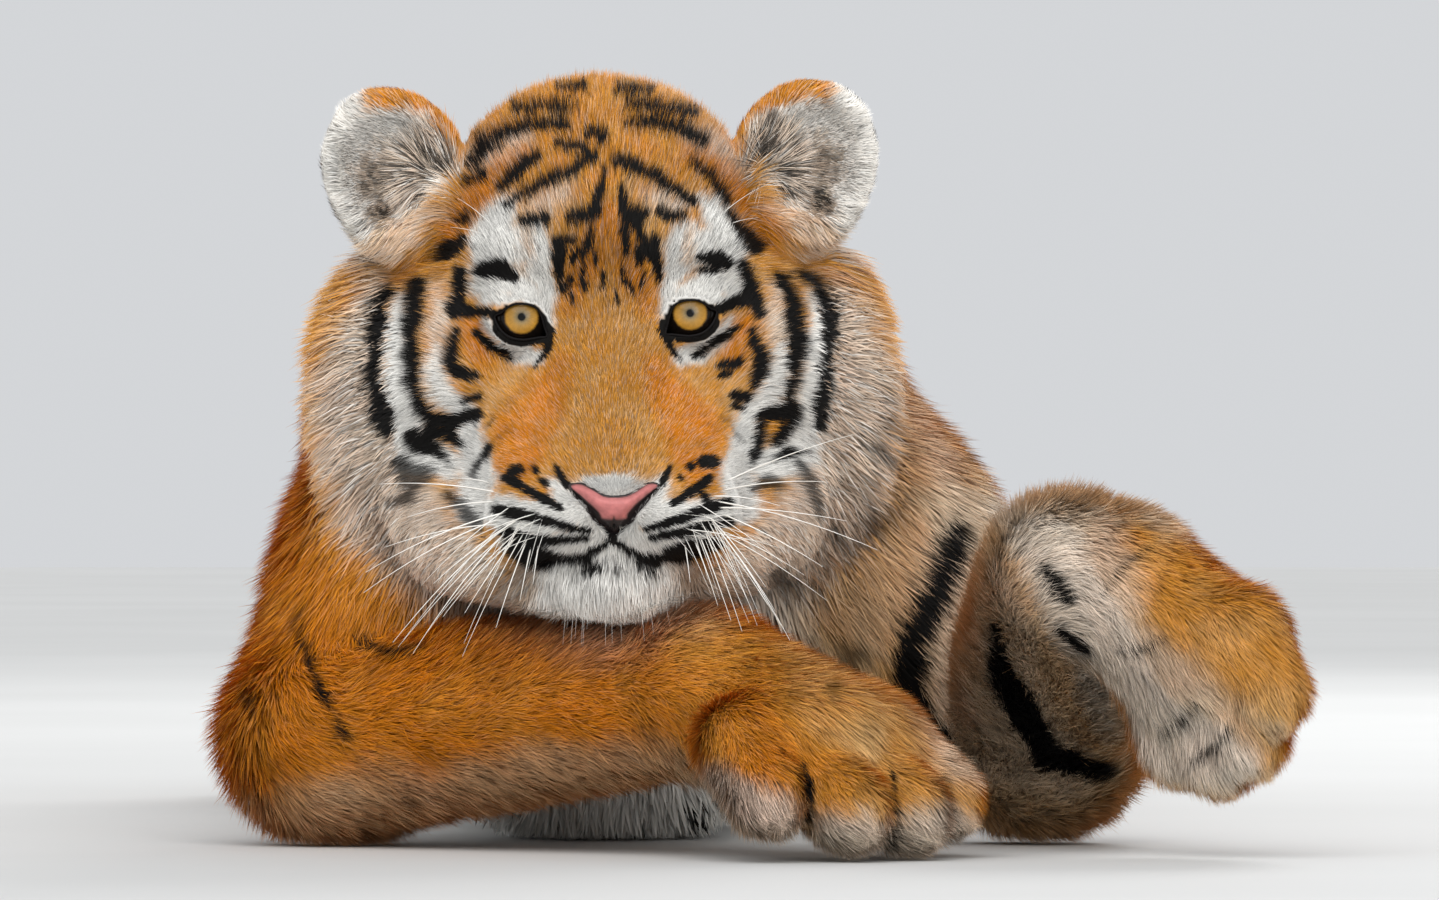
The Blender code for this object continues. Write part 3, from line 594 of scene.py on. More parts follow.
MUZZLE_STRIPES = [
    [(-5.0, -8.3, 0.55), (-4.7, -8.2, 0.45)], [(-3.85, -8.15, 0.25), (-3.8, -8.3, 0.25)],
    [(-3.5, -8.8, 0.2), (-3.3, -9.0, 0.2)],
    [(-5.4, -8.7, 0.4), (-4.6, -9.1, 0.35), (-3.9, -9.5, 0.35), (-3.2, -9.9, 0.35), (-2.5, -10.3, 0.25)],
    [(-5.9, -10.4, 0.45), (-5.0, -10.6, 0.5), (-4.0, -10.8, 0.4), (-3.0, -11.1, 0.35), (-2.0, -11.4, 0.25),
     (-0.9, -11.6, 0.12)],
    [(-5.5, -11.6, 0.5), (-4.4, -12.0, 0.5), (-3.4, -12.1, 0.4), (-2.4, -12.1, 0.25), (-1.0, -12.0, 0.15)],
    [(-5.2, -12.4, 0.7), (-4.2, -12.9, 1.0), (-3.2, -13.2, 1.0), (-2.6, -13.1, 0.4)],
    [(5.3, -7.8, 0.6), (5.8, -7.8, 0.6)], [(4.6, -8.0, 0.3), (4.6, -8.1, 0.3)],
    [(4.0, -8.6, 0.15), (4.1, -8.7, 0.15)],
    [(5.6, -8.7, 0.35), (5.0, -9.2, 0.4), (4.3, -9.6, 0.4), (3.7, -10.0, 0.3)],
    [(5.2, -9.5, 0.25), (5.5, -9.9, 0.25)],
    [(6.6, -10.0, 0.4), (5.6, -10.3, 0.5), (4.6, -10.7, 0.4), (3.4, -11.1, 0.35), (2.2, -11.5, 0.15)],
    [(6.7, -11.0, 0.4), (5.5, -11.3, 0.5), (4.5, -11.6, 0.45), (3.4, -11.8, 0.35), (2.4, -12.0, 0.15)],
    [(6.0, -12.2, 0.6), (5.0, -12.5, 0.9), (4.0, -12.8, 1.0), (3.4, -12.8, 0.6)],
    [(0.3, -12.15, 0.25), (-0.6, -12.7, 0.2), (-1.4, -13.1, 0.25), (-2.6, -13.2, 0.4)],
    [(0.4, -12.15, 0.25), (1.2, -12.7, 0.2), (2.2, -13.1, 0.25), (3.4, -13.1, 0.4)],
    [(0.4, -10.9, 0.9), (0.4, -11.5, 0.5), (0.35, -12.1, 0.25)], [(-1.4, -13.2, 0.3), (-1.0, -13.3, 0.3)],
    [(-0.6, -13.6, 0.3), (-0.4, -13.6, 0.3)], [(-1.2, -14.0, 0.3), (-0.9, -13.9, 0.3)],
    [(1.8, -13.4, 0.3), (2.8, -13.35, 0.3)], [(2.3, -13.9, 0.2), (2.6, -13.9, 0.2)],
    [(-2.66, -8.1, 0.2), (-2.45, -8.6, 0.3), (-2.1, -9.1, 0.2)],
    [(3.47, -8.05, 0.12), (3.25, -8.5, 0.2), (2.98, -9.0, 0.16)],
]
TEAR_LINES = [
    [(-3.15, -1.1, 0.45), (-3.1, -1.6, 0.5), (-3.35, -2.1, 0.34), (-3.9, -2.8, 0.12)],
    [(3.3, -0.95, 0.45), (3.35, -1.45, 0.5), (3.65, -1.95, 0.34), (4.05, -2.4, 0.12)],
]
LEG_STRIPES = [
    [(19.1, -11.9, 1.2), (17.8, -15.4, 1.6), (16.6, -17.7, 1.8), (16.3, -20.8, 1.7), (18.0, -23.1, 1.2)],
    [(20.7, -16.6, 0.6), (20.8, -18.5, 1.2), (22.0, -20.8, 1.6), (23.6, -23.6, 1.6), (27.0, -24.3, 1.0)],
    [(24.5, -16.8, 0.3), (25.7, -18.0, 0.6)], [(23.6, -13.4, 0.3), (25.0, -15.2, 0.5)],
]
SHOULDER_STRIPES = [
    [(-16.8, -16.4, 0.5), (-15.4, -19.4, 0.7), (-13.7, -22.5, 0.4)],
    [(-20.2, -19.6, 0.4), (-18.8, -21.4, 0.5)],
    [(-13.4, -17.4, 0.4), (-11.4, -17.9, 0.5), (-9.4, -17.5, 0.3)],
]
# Painted shadow in the clefts between the toes, drawn as dark lines.
TOE_CLEFT_SHADOWS = [
    [(10.5, -23.8, 0.15), (10.9, -25.2, 0.5), (10.8, -26.6, 0.6), (10.5, -27.8, 0.4)],
    [(15.4, -24.4, 0.15), (15.6, -26.6, 0.3), (15.4, -28.4, 0.3)],
    [(18.2, -24.6, 0.15), (18.6, -26.4, 0.3), (18.4, -27.8, 0.25)],
    [(26.6, -15.2, 0.15), (27.8, -13.6, 0.3), (29.4, -12.2, 0.12)],
    [(27.4, -18.2, 0.15), (29.0, -18.0, 0.3), (30.2, -17.2, 0.12)],
    [(29.8, -22.6, 0.15), (30.8, -22.0, 0.35), (31.8, -21.0, 0.12)],
    [(31.2, -24.2, 0.15), (32.4, -23.4, 0.35), (33.6, -22.2, 0.12)],
]
PALE_FRONT = [
    [(12.5, -1.0, 1.5), (15.5, -6.0, 5.0), (17.5, -11.0, 6.5), (14.5, -15.5, 6.0)],
    [(19.5, -12.0, 3.0), (20.0, -17.0, 6.5), (20.5, -22.0, 7.0), (24.5, -24.5, 4.0)],
    [(22.0, -10.5, 3.0), (25.5, -11.5, 5.0), (26.5, -15.5, 4.5), (27.5, -18.0, 3.0)],
    [(27.5, -17.0, 2.6), (30.0, -20.0, 4.0), (32.5, -23.0, 4.0)],
    [(20.5, -10.5, 3.0), (24.0, -8.6, 3.6), (28.5, -8.8, 3.6), (31.5, -10.6, 2.5)],
]
INNER_WHITE = [
    [(21.5, -10.5, 2.5), (24.0, -12.6, 4.0), (25.6, -16.0, 4.4), (27.6, -20.0, 4.4), (30.0, -22.8, 4.6),
     (33.4, -24.2, 3.4)],
]
PALE_TOES = [
    [(6.0, -25.6, 2.8), (9.0, -27.2, 3.4)], [(12.2, -27.8, 2.6), (15.0, -28.7, 3.0), (18.6, -27.6, 2.8)],
]
PEACH_FRONT = [
    [(4.0, -17.5, 2.5), (9.0, -18.5, 4.0), (13.0, -21.5, 4.0)],
    [(19.0, -10.5, 4.0), (27.0, -9.6, 4.6), (31.0, -10.5, 2.5)],
]
BLOTCHED = [
    [(13.5, -5.0, 2.0), (15.5, -10.0, 5.0), (14.0, -15.0, 6.0), (13.0, -19.0, 4.0)],
    [(18.5, -5.0, 1.5), (19.5, -8.0, 2.0)],
]
# These lie on both sides of the head, and are given for the tiger's left.
WHITE_PATCHES = [
    [(3.3, -0.4, 0.5), (3.1, 0.6, 0.6), (3.4, 1.8, 1.1), (4.1, 3.4, 2.2), (4.2, 4.3, 1.9)],
    [(4.0, 1.4, 0.9), (5.4, 1.9, 1.7), (6.8, 1.7, 1.5)],
    [(6.9, 2.4, 1.1), (6.5, 4.0, 2.0), (5.7, 5.6, 1.5), (5.0, 6.3, 0.6)],
    [(5.3, 4.4, 1.0), (5.4, 3.2, 1.2)],
    [(6.6, -0.3, 0.5), (5.8, -1.3, 0.95), (4.8, -1.9, 1.2), (3.9, -2.2, 0.9)],
    [(3.2, -0.6, 0.5), (3.2, 0.3, 0.8), (3.7, 0.9, 1.0), (4.5, 1.15, 1.1), (5.4, 0.9, 0.9),
     (6.7, 0.95, 0.8)],
    [(1.3, -9.7, 0.8), (1.1, -10.6, 1.4), (0.9, -11.6, 1.5)],
    [(9.3, -1.6, 0.6), (9.4, -3.0, 1.2), (8.8, -4.4, 1.6), (7.6, -5.2, 1.2), (7.4, -6.8, 1.7),
     (7.0, -8.6, 1.9), (7.3, -10.2, 2.2)],
    [(11.2, 0.9, 0.7), (11.4, -1.0, 1.3), (11.3, -3.5, 1.8), (10.9, -5.6, 1.8), (10.4, -7.4, 2.4),
     (8.6, -8.0, 1.6)],
    [(2.0, -10.6, 1.8), (3.4, -10.9, 2.2), (5.2, -10.8, 2.2), (6.4, -10.4, 1.6)],
    [(1.2, -12.2, 1.6), (3.0, -12.4, 1.6), (5.2, -12.0, 1.2)], [(0.4, -14.2, 6.2), (0.4, -15.6, 7.4)],
    [(3.9, -13.4, 1.4), (4.6, -14.8, 2.4), (5.4, -16.2, 3.0)], [(2.9, -9.0, 0.9), (2.2, -10.2, 1.7)],
    [(-1.0, -8.8, 0.5), (0.3, -9.1, 1.1), (1.2, -8.8, 0.5)],
]
JAW_SHADOWS = [
    [(4.2, -13.3, 0.9), (5.1, -14.4, 2.4), (6.0, -16.2, 3.4)],
]
BROW_SMUDGES = [
    [(4.6, 5.2, 0.4), (4.3, 4.2, 0.7), (4.3, 3.2, 0.7), (4.6, 2.5, 0.3)],
]
EAR_TUFTS = [
    [(13.0, 5.4, 1.5), (13.4, 4.2, 1.7), (13.6, 3.2, 1.2)],
]
CREAM_PATCHES = [
    [(7.2, 8.3, 0.9), (5.9, 9.1, 1.0), (4.4, 9.7, 0.5)], [(9.2, 1.2, 0.9), (9.2, -1.0, 1.3)],
    [(12.8, 1.4, 1.6), (13.3, -1.0, 2.8), (14.0, -4.0, 4.2), (13.4, -7.5, 5.2), (12.0, -10.8, 5.6),
     (9.4, -13.4, 5.0), (6.6, -14.8, 3.4)],
    [(9.4, 5.6, 0.5), (10.6, 4.7, 0.8), (11.8, 4.0, 1.2)], [(2.2, 6.6, 0.6), (3.8, 6.0, 1.0)],
]
DEEP_PATCHES = [
    [(2.4, -2.6, 1.2), (3.4, -4.6, 2.4), (4.6, -6.2, 3.2), (5.0, -8.0, 2.2)],
    [(6.3, -0.9, 0.7), (7.5, -0.3, 1.0), (6.8, -2.0, 1.4)],
    [(4.4, 8.7, 0.7), (5.8, 8.0, 0.8), (7.2, 6.2, 1.6), (8.6, 4.4, 1.8)],
    [(2.1, 0.6, 1.0), (1.2, 3.0, 2.0), (0.0, 5.4, 1.4)],
]


def grain(p, size, seed=0):
    """Smooth noise between about -1 and 1 at places p, in lumps of that size."""
    q = p / size + 31.7 * seed
    cell = np.floor(q).astype(np.int64)
    t = q - cell
    t = t * t * (3 - 2 * t)
    total = np.zeros(len(p))
    for corner in itertools.product((0, 1), repeat=3):
        hashed = (cell + corner) @ np.array([73856093, 19349663, 83492791]) & 0x7FFFFFFF
        hashed = (hashed ^ (hashed >> 13)) * 1274126177 & 0x7FFFFFFF
        hashed = (hashed ^ (hashed >> 16)) * 668265263 & 0x7FFFFFFF
        share = np.prod([t[:, k] if corner[k] else 1 - t[:, k] for k in range(3)], axis=0)
        total += share * ((hashed >> 7 & 0xFFFF) / 32767.5 - 1)
    return total


def front(p):
    """(across, up) of places on the front of the tiger, in perspective from straight ahead."""
    q = p - HEAD_AT
    scale = VIEW_DISTANCE / (VIEW_DISTANCE + q[:, 1])
    return q[:, 0] * scale, (q[:, 2] + VIEW_DROP) * scale - VIEW_DROP


def drawn(x, z, lines, soft, ragged=0.0, bolder=0.0):
    """How far, from 0 to 1, each place is inside any of the lines of (x, z, width). bolder widens them."""
    amount, ragged = np.zeros(len(x)), np.broadcast_to(ragged, len(x))
    for line in lines:
        line = np.array(line)
        room = line[:, 2].max() / 2 + soft + bolder + 0.3
        low, high = line.min(0) - room, line.max(0) + room
        i = np.flatnonzero((x > low[0]) & (x < high[0]) & (z > low[1]) & (z < high[1]))
        if not len(i):
            continue
        p, best = np.stack([x[i], z[i]], 1), np.full(len(i), 9.0)
        for a, b in zip(line, line[1:]):
            along = b[:2] - a[:2]
            t = np.clip((p - a[:2]) @ along / (along @ along), 0, 1)
            away = p - a[:2] - np.multiply.outer(t, along)
            best = np.minimum(best, np.linalg.norm(away, axis=1) - (a[2] + t * (b[2] - a[2])) / 2)
        amount[i] = most(amount[i], 1 - smooth(-soft / 2, soft / 2, best - bolder + ragged[i]))
    return amount


def head_marks(p):
    """(white, black, shade, grizzle) on the front of the head."""
    x, z = front(p)
    both = np.abs(x - 0.1)
    rough, fine = grain(p, 0.9, 1), grain(p, 0.28, 2)
    ragged = 0.08 * rough + 0.09 * fine
    smoky = 1 - 0.42 * smooth(-6.5, -8.5, z)
    blotch = smooth(0.0, 0.5, grain(p, 1.5, 10)) * smooth(11.5, 13.5, x) * smooth(-4, -6.5, z)
    cream = drawn(both, z, CREAM_PATCHES, 1.4, ragged * 4)
    ear_tuft = smooth(13, 10, p[:, 1]) * drawn(both, z, EAR_TUFTS, 0.8, ragged * 3)
    smudge = drawn(both, z, BROW_SMUDGES, 0.5, ragged * 3)
    jaw_shadow = drawn(both, z, JAW_SHADOWS, 1.0, ragged * 4)
    chin_top = smooth(2.9, 1.9, np.abs(x - 0.5)) * smooth(-14.6, -13.9, z) * smooth(-12.7, -13.2, z)
    beside_nose = smooth(1.2, 0.5, np.hypot((x - 0.4) / 3.2, (z + 9.6) / 1.3))
    beside_nose *= 1 - drawn(both, z, DEEP_PATCHES, 1.2, ragged)
    black = most(
        drawn(x, z, FOREHEAD_STRIPES + EYE_STRIPES, 0.16, ragged, 0.09),
        smoky * drawn(x, z, CHEEK_STRIPES, 0.25, ragged * 1.6, 0.14),
        drawn(x, z, MUZZLE_STRIPES, 0.1, 0.06 * fine, 0.09),
        drawn(x, z, TEAR_LINES, 0.06),
        0.56 * drawn(x, z, FAINT_STRIPES, 0.9, ragged * 3),
        0.5 * blotch,
        0.62 * chin_top * smooth(-0.3, 0.5, grain(p, 0.42, 11)),
        0.36 * beside_nose,
        0.40 * jaw_shadow,
    )
    white = most(drawn(both, z, WHITE_PATCHES, 0.5, ragged * 2), 0.56 * cream, 0.95 * ear_tuft)
    white *= 1 - most(0.45 * smudge, 0.5 * jaw_shadow)
    white = most(white, 0.9 * beside_nose * smooth(-8.2, -8.9, z))
    bridge = smooth(4.0, 1.2, np.abs(x)) * smooth(-9.9, -8.4, z) * smooth(6.8, 3.0, z)
    shade = 0.42 + 0.18 * rough + 0.5 * drawn(both, z, DEEP_PATCHES, 1.2, ragged * 3)
    shade = shade * (1 - 0.3 * bridge) + 0.16 * bridge + 0.16 * smooth(5, 8, z) * smooth(9, 7, both)
    crown = smooth(1, 4, z) * smooth(9, 7, both)
    grizzle = 0.55 * bridge + 0.08 * smooth(-3, 3, z) + 0.26 * crown + 0.5 * most(chin_top, jaw_shadow)
    ticked = smooth(10.0, 12.5, both) * smooth(1, -3, z) + smooth(-13, -15, z) * smooth(4.5, 6.5, both)
    grizzle = most(grizzle, 0.4 * smudge, 0.3 * cream * np.clip(ticked, 0, 1))
    return np.stack([white, black, shade, grizzle], 1)


def trunk_stripes(p, normal, ragged):
    """How black the rings round the trunk are. They split in two and thin out towards the back and belly."""
    warp, rough = grain(p, 7.5, 3), grain(p, 2.4, 4)
    side = np.abs(p[:, 0])
    wave = np.cos(2 * np.pi * (p[:, 1] / 7.0 + 0.45 * warp + 0.10 * rough + 0.02 * side))
    split = smooth(0.72, 0.86, wave) * smooth(0.0, 0.25, grain(p, 9, 6))
    stripe = smooth(0.26, 0.36, wave + 2.5 * ragged - 0.2 * smooth(5, 1, side)) * (1 - split)
    above_belly = smooth(-0.75, -0.45, normal[:, 2] + 0.4 * rough)
    return stripe * above_belly * smooth(-0.5, -0.35, grain(p, 5.5, 7) + 0.25)


def body_marks(p, normal, along, kind):
    """(white, black, shade, grizzle) behind the face. kind is the shares of trunk, fore, hind and tail."""
    trunk, fore, hind, tail = kind.T
    x, z = front(p)
    y = p[:, 1]
    rough = grain(p, 2.4, 4)
    ragged = 0.05 * rough + 0.05 * grain(p, 0.7, 5)
    leg_ring = np.cos(2 * np.pi * (along / 4.6 + 0.3 * grain(p, 7.5, 3) + 0.1 * rough))
    leg = smooth(0.45, 0.62, leg_ring + 2 * ragged) * smooth(-0.3, 0.2, rough + 0.2)
    inner = smooth(0.1, 0.6, -normal[:, 2]) * smooth(13, 18, y)
    black = trunk * trunk_stripes(p, normal, ragged) + hind * leg
    black += fore * leg * 0.8 * most(inner, smooth(12, 20, y) * 0.4)
    facing = smooth(-0.1, 0.2, -normal[:, 1]) * smooth(30, 20, y)
    crossed_paw = smooth(21, 20, x) * smooth(1, -2, y)
    black = most(
        black,
        facing * (1 - crossed_paw) * drawn(x, z, LEG_STRIPES, 0.3, ragged * 3),
        0.75 * facing * drawn(x, z, SHOULDER_STRIPES, 0.5, ragged * 4),
    )
    tail_ring = np.cos(2 * np.pi * along / 7.2)
    black += tail * most(smooth(0.15, 0.4, tail_ring + 2 * ragged), smooth(76, 78, along))
    under = smooth(-0.25, -0.7, normal[:, 2] + 0.12 * rough)
    towards = -normal[:, 1] + 0.7 * np.maximum(normal[:, 2], 0) - 0.3 * np.maximum(normal[:, 0], 0)
    ahead = smooth(-0.1, 0.3, towards) * smooth(34, 26, y)
    pale = drawn(x, z, PALE_FRONT, 2.2, ragged * 8) * ahead
    toes = drawn(x, z, PALE_TOES, 1.4, ragged * 6) * fore * smooth(12, 8, y)
    blotch = smooth(0.05, 0.5, grain(p, 1.7, 10)) * drawn(x, z, BLOTCHED, 2.0, ragged * 8) * ahead
    throat = smooth(16, 10, y) * smooth(9, 5, np.abs(p[:, 0])) * trunk
    belly = np.clip(under + 0.4 * smooth(9, 4, p[:, 2]) * trunk, 0, 1)
    white = most(
        belly * (trunk + 0.22 * fore + 0.8 * hind + 0.7 * tail),
        (0.42 - 0.2 * smooth(18.5, 16, x)) * pale,
        0.66 * drawn(x, z, INNER_WHITE, 1.8, ragged * 8) * ahead,
        0.56 * toes,
        0.8 * throat,
    )
    # Painted shadow darkens the clefts between the toes.
    black = most(black, 0.52 * blotch, fore * ahead * drawn(x, z, TOE_CLEFT_SHADOWS, 0.12, ragged))
    shade = 0.62 + 0.2 * smooth(0.2, 0.9, normal[:, 2]) + 0.14 * rough - 0.35 * under
    shade += 0.24 * smooth(6, 0, p[:, 0]) * smooth(40, 20, y)
    shade -= 0.3 * ahead * (smooth(8, 14, p[:, 0]) + drawn(x, z, PEACH_FRONT, 2.0, ragged * 8))
    grizzle = 0.04 + 0.05 * pale + 0.45 * toes
    return np.stack([np.clip(white, 0, 1), np.clip(black, 0, 1), np.clip(shade, 0, 1), grizzle], 1)


# ---- The lie and depth of the coat ----------------------------------------------------------------

HEAD_PARTS = ("head", "muzzle", "nose", "lower_jaw", "lids")
TRUNK_PARTS = ("chest", "belly", "hips", "neck")
KINDS = (HEAD_PARTS, TRUNK_PARTS, CHAINS[0] + CHAINS[1], CHAINS[2] + CHAINS[3], TAIL_PARTS)


def head_lie(p):
    """The way that the hair runs on the head: away from the nose, and down on the chin and ruff."""
    q = in_head(p)
    side, up, still = np.abs(q[:, 0]), q[:, 2], np.zeros(len(q))
    away = unit(q - (0, -9.7, -10.1)) * (1.0, 0.75, 1.0)
    below_ear = (smooth(6.5, 9, side) * smooth(-1, 2.5, up) * smooth(9, 6.5, up))[:, None]
    outward = np.stack([np.sign(q[:, 0]), 0.4 + still, -0.4 + still], 1)
    away = away * (1 - below_ear) + outward * below_ear
    away += np.multiply.outer(smooth(6.5, 10, side) * smooth(4, -2, up), (0, 0.1, -0.55))
    chin = (smooth(-11.9, -13.0, up) * smooth(5.5, 3.5, side))[:, None]
    away = away * (1 - chin) + np.stack([0.12 * q[:, 0], -0.2 + still, -1.0 + still], 1) * chin
    return away @ HEAD_TURN.T


def coat_facts(p):
    """(depth of coat, lie, shares of kinds, way along the limb, nearest part, parts' names) on the skin."""
    weight, depth, along = np.zeros(len(p)), np.zeros(len(p)), np.zeros(len(p))
    lie, shares = np.zeros((len(p), 3)), np.zeros((len(p), len(KINDS)))
    best, nearest = np.full(len(p), FAR), np.zeros(len(p), int)
    names = sorted({m["part"] for m in FLESH})
    run = {}
    for mass in FLESH:
        part = mass["part"]
        kind = next(k for k, parts in enumerate(KINDS) if part in parts)
        limb = (kind, part.split("_")[-1] if kind in (2, 3) else part[:4])
        start = run.get(limb, 0.0)
        i = near(p, *reach_of(mass))
        d = mass_distance(p[i], mass)
        at = np.full(len(i), start)
        if mass["kind"] == "bone":
            length = np.linalg.norm(mass["to"] - mass["at"])
            at = np.clip((p[i] - mass["at"]) @ mass["lie"] / length, 0, 1) * length + start
            if not part.startswith(("paw", "foot")):
                run[limb] = start + length
        share = np.exp(-np.clip(d, 0, 20) / 0.9) + 1e-9
        weight[i] += share
        depth[i] += share * mass["coat"]
        along[i] += share * at
        shares[i, kind] += share
        lie[i] += share[:, None] * (head_lie(p[i]) if kind == 0 else mass["lie"])
        closer = d < best[i]
        best[i[closer]] = d[closer]
        nearest[i[closer]] = names.index(part)
    weight = np.maximum(weight, 1e-9)
    return depth / weight, lie / weight[:, None], shares / weight[:, None], along / weight, nearest, names


def ear_facts(p, normal, depth, lie, nearest, names):
    """Changes depth and lie on the ears, and names them. Gives side times 1 on their backs to 2 inside."""
    ears = np.zeros(len(p))
    from_middle = np.linalg.norm(in_head(p)[:, [0, 2]], axis=1)
    for name, side in SIDES.items():
        (cup_at, _, turn), scoop = ear_masses(side)
        on_ear = smooth(1.0, 0.3, ear_distance(p, side)) * smooth(10.0, 11.8, from_middle)
        hollow = np.abs(ball_distance(p, *scoop))
        inside = on_ear * smooth(0.8, 0.3, hollow) * smooth(0.2, -0.2, normal @ turn[:, 1])
        local = (p - cup_at) @ turn
        out, up = local[:, 0] * side, local[:, 2]
        upward = np.stack([0.16 * local[:, 0], np.zeros(len(p)), np.ones(len(p))], 1)
        fan = np.stack([side * (out + 2.9), np.full(len(p), -1.1), up + 1.4], 1)
        way = (upward * (1 - inside)[:, None] + unit(fan) * inside[:, None]) @ turn.T
        base = smooth(3.0, 1.4, np.hypot(out + 2.4, up + 0.9))
        rim = smooth(0.62, 0.85, np.hypot(out / EAR_RADII[0], up / EAR_RADII[2]))
        low = smooth(-1.5, -2.6, up) * smooth(0.8, 0.0, local[:, 1])
        hang = np.array((0.9 * side, -0.25, -0.3)) @ turn.T
        way = way * (1 - low)[:, None] + hang * low[:, None]
        lie[:] = lie * (1 - on_ear)[:, None] + way * on_ear[:, None]
        coat = EAR_COAT + inside * (0.9 * base + 0.2 * rim - 0.15) + 0.35 * low
        depth[:] = depth * (1 - on_ear) + coat * on_ear
        ears = np.where(on_ear > 0.5, side * (1 + inside), ears)
        nearest[on_ear > 0.5] = names.index(f"ear_{name}")
    return ears


def ear_marks(p, ears):
    """(white, black, shade, grizzle) on the ears: black backs with a pale spot, pale hollows with painted
    shade in their pit, orange tops.
    """
    side = np.where(ears < 0, -1.0, 1.0)
    local = np.empty_like(p)
    for s in SIDES.values():
        (cup_at, _, turn), _ = ear_masses(s)
        local[side == s] = (p[side == s] - cup_at) @ turn
    fine, streak = grain(p, 0.5, 8), grain(p, 0.22, 9)
    out, up, inside = local[:, 0] * side, local[:, 2], np.abs(ears) - 1
    behind = smooth(0.2, 0.9, local[:, 1]) * (1 - inside)
    spot = smooth(1.5, 1.1, np.hypot(out, up - 0.6) + 0.2 * fine)
    round_edge = np.hypot(out / EAR_RADII[0], up / EAR_RADII[2])
    fringe = smooth(0.70, 0.82, round_edge + 0.05 * fine) * smooth(0.7, -0.7, out + 0.3 * fine)
    fringe *= smooth(-1.9, -0.9, up)
    # Painted shade: the pit deep in the hollow is darkened as though shadowed.
    painted_pit_shade = smooth(1.2, 0.3, np.hypot((out - 0.6) / 2.1, (up - 0.1) / 2.2) + 0.3 * fine)
    base = smooth(2.8, 1.8, np.hypot(out + 2.4, up + 0.9)) * smooth(-2.0, -1.4, up + 0.3 * fine)
    tuft = smooth(1.2, 0.7, np.hypot((out - 1.5) / 1.2, (up + 1.5) / 0.8) + 0.2 * fine)
    edge = smooth(1.2, 0.7, np.hypot((out - 0.2) / 2.3, (up + 1.25) / 0.6) + 0.3 * fine)
    hollow = most(0.9 * painted_pit_shade, tuft, 0.8 * edge) * (1 - base)
    dark = hollow * (0.38 + 0.26 * smooth(-0.5, 0.5, streak)) + base * 0.6 * smooth(-0.1, 0.2, streak)
    lower = smooth(-1.7, -2.4, up + 0.3 * fine) * smooth(3.0, 2.2, out + 0.4 * fine) * (1 - behind)
    lining = (1 - fringe) * (1 - behind)
    white = (0.95 - 0.35 * base - 0.45 * hollow) * lining + behind * spot
    white = white * (1 - lower) + 0.4 * lower
    black = most(behind * (1 - spot), dark * lining) * (1 - lower)
    shade = 0.35 + 0.3 * fringe + 0.2 * fine
    grizzle = 0.03 + 0.55 * hollow * lining
    return np.stack([white, black, shade, grizzle], 1)


def marks_at(p, normal, shares, along, ears):
    """The markings of skin and coat alike: (white, black, shade, grizzle)."""
    head = shares[:, 0] * smooth(18, 13, in_head(p)[:, 1])
    marks = body_marks(p, normal, along, np.stack([shares[:, 0] + shares[:, 1], *shares[:, 2:].T], 1))
    i = np.flatnonzero(head > 0.01)
    marks[i] = marks[i] * (1 - head[i])[:, None] + head_marks(p[i]) * head[i][:, None]
    i = np.flatnonzero(ears)
    if len(i):
        marks[i] = ear_marks(p[i], ears[i])
    return marks


# ---- Growing the coat -----------------------------------------------------------------------------
# For each part: tufts to the square centimetre, width, lift from the skin in degrees, and whether they bend.

TUFTS = {
    "muzzle": (220, 0.042, 25, False), "nose": (220, 0.042, 25, False), "lids": (150, 0.042, 25, False),
    "head": (170, 0.050, 27, False), "ruff": (62, 0.085, 28, True), "nape": (26, 0.13, 30, True),
    "lower_jaw": (120, 0.055, 25, True), "neck": (26, 0.14, 28, True), "chest": (13, 0.23, 28, True),
    "belly": (9, 0.27, 28, True), "hips": (9, 0.27, 28, True),
    **dict.fromkeys(TAIL_PARTS, (16, 0.2, 28, True)),
}
TUFTS_OF_PAIRS = {
    "ear": (150, 0.048, 27, True), "upper_arm": (62, 0.10, 26, False), "forearm": (92, 0.075, 25, False),
    "paw": (120, 0.064, 25, False), "thigh": (12, 0.24, 26, True), "shank": (18, 0.18, 26, False),
    "foot": (26, 0.14, 25, False),
}
TUFTS.update({f"{part}_{side}": tufts for part, tufts in TUFTS_OF_PAIRS.items() for side in SIDES})
COATS = {
    "coat_muzzle": ("muzzle", "nose", "lids", "lower_jaw"), "coat_face": ("head",), "coat_ruff": ("ruff",),
    "coat_nape": ("nape",), "coat_ears": ("ear_right", "ear_left"), "coat_neck": ("neck",),
    "coat_chest": ("chest",), "coat_belly": ("belly",), "coat_hips": ("hips",),
    "coat_arm_right": CHAINS[0], "coat_arm_left": CHAINS[1],
    "coat_leg_right": CHAINS[2], "coat_leg_left": CHAINS[3], "coat_tail": TAIL_PARTS,
}
PATCH = 0.003  # of the unwrap, for each tuft


def triangles_of(quads):
    return np.concatenate([quads[:, [0, 1, 2]], quads[:, [0, 2, 3]]])


def scattered(points, faces, wanted, rng):
    """Random places on a mesh: (face, weights of its corners). wanted is each face's tufts to the sq cm."""
    a, b, c = (points[faces[:, k]] for k in range(3))
    area = np.linalg.norm(np.cross(b - a, c - a), axis=1) / 2
    expected = area * wanted
    count = np.floor(expected + rng.random(len(faces))).astype(int)
    face = np.repeat(np.arange(len(faces)), count)
    u, v = np.sqrt(rng.random(len(face))), rng.random(len(face))
    return face, np.stack([1 - u, u * (1 - v), u * v], 1)


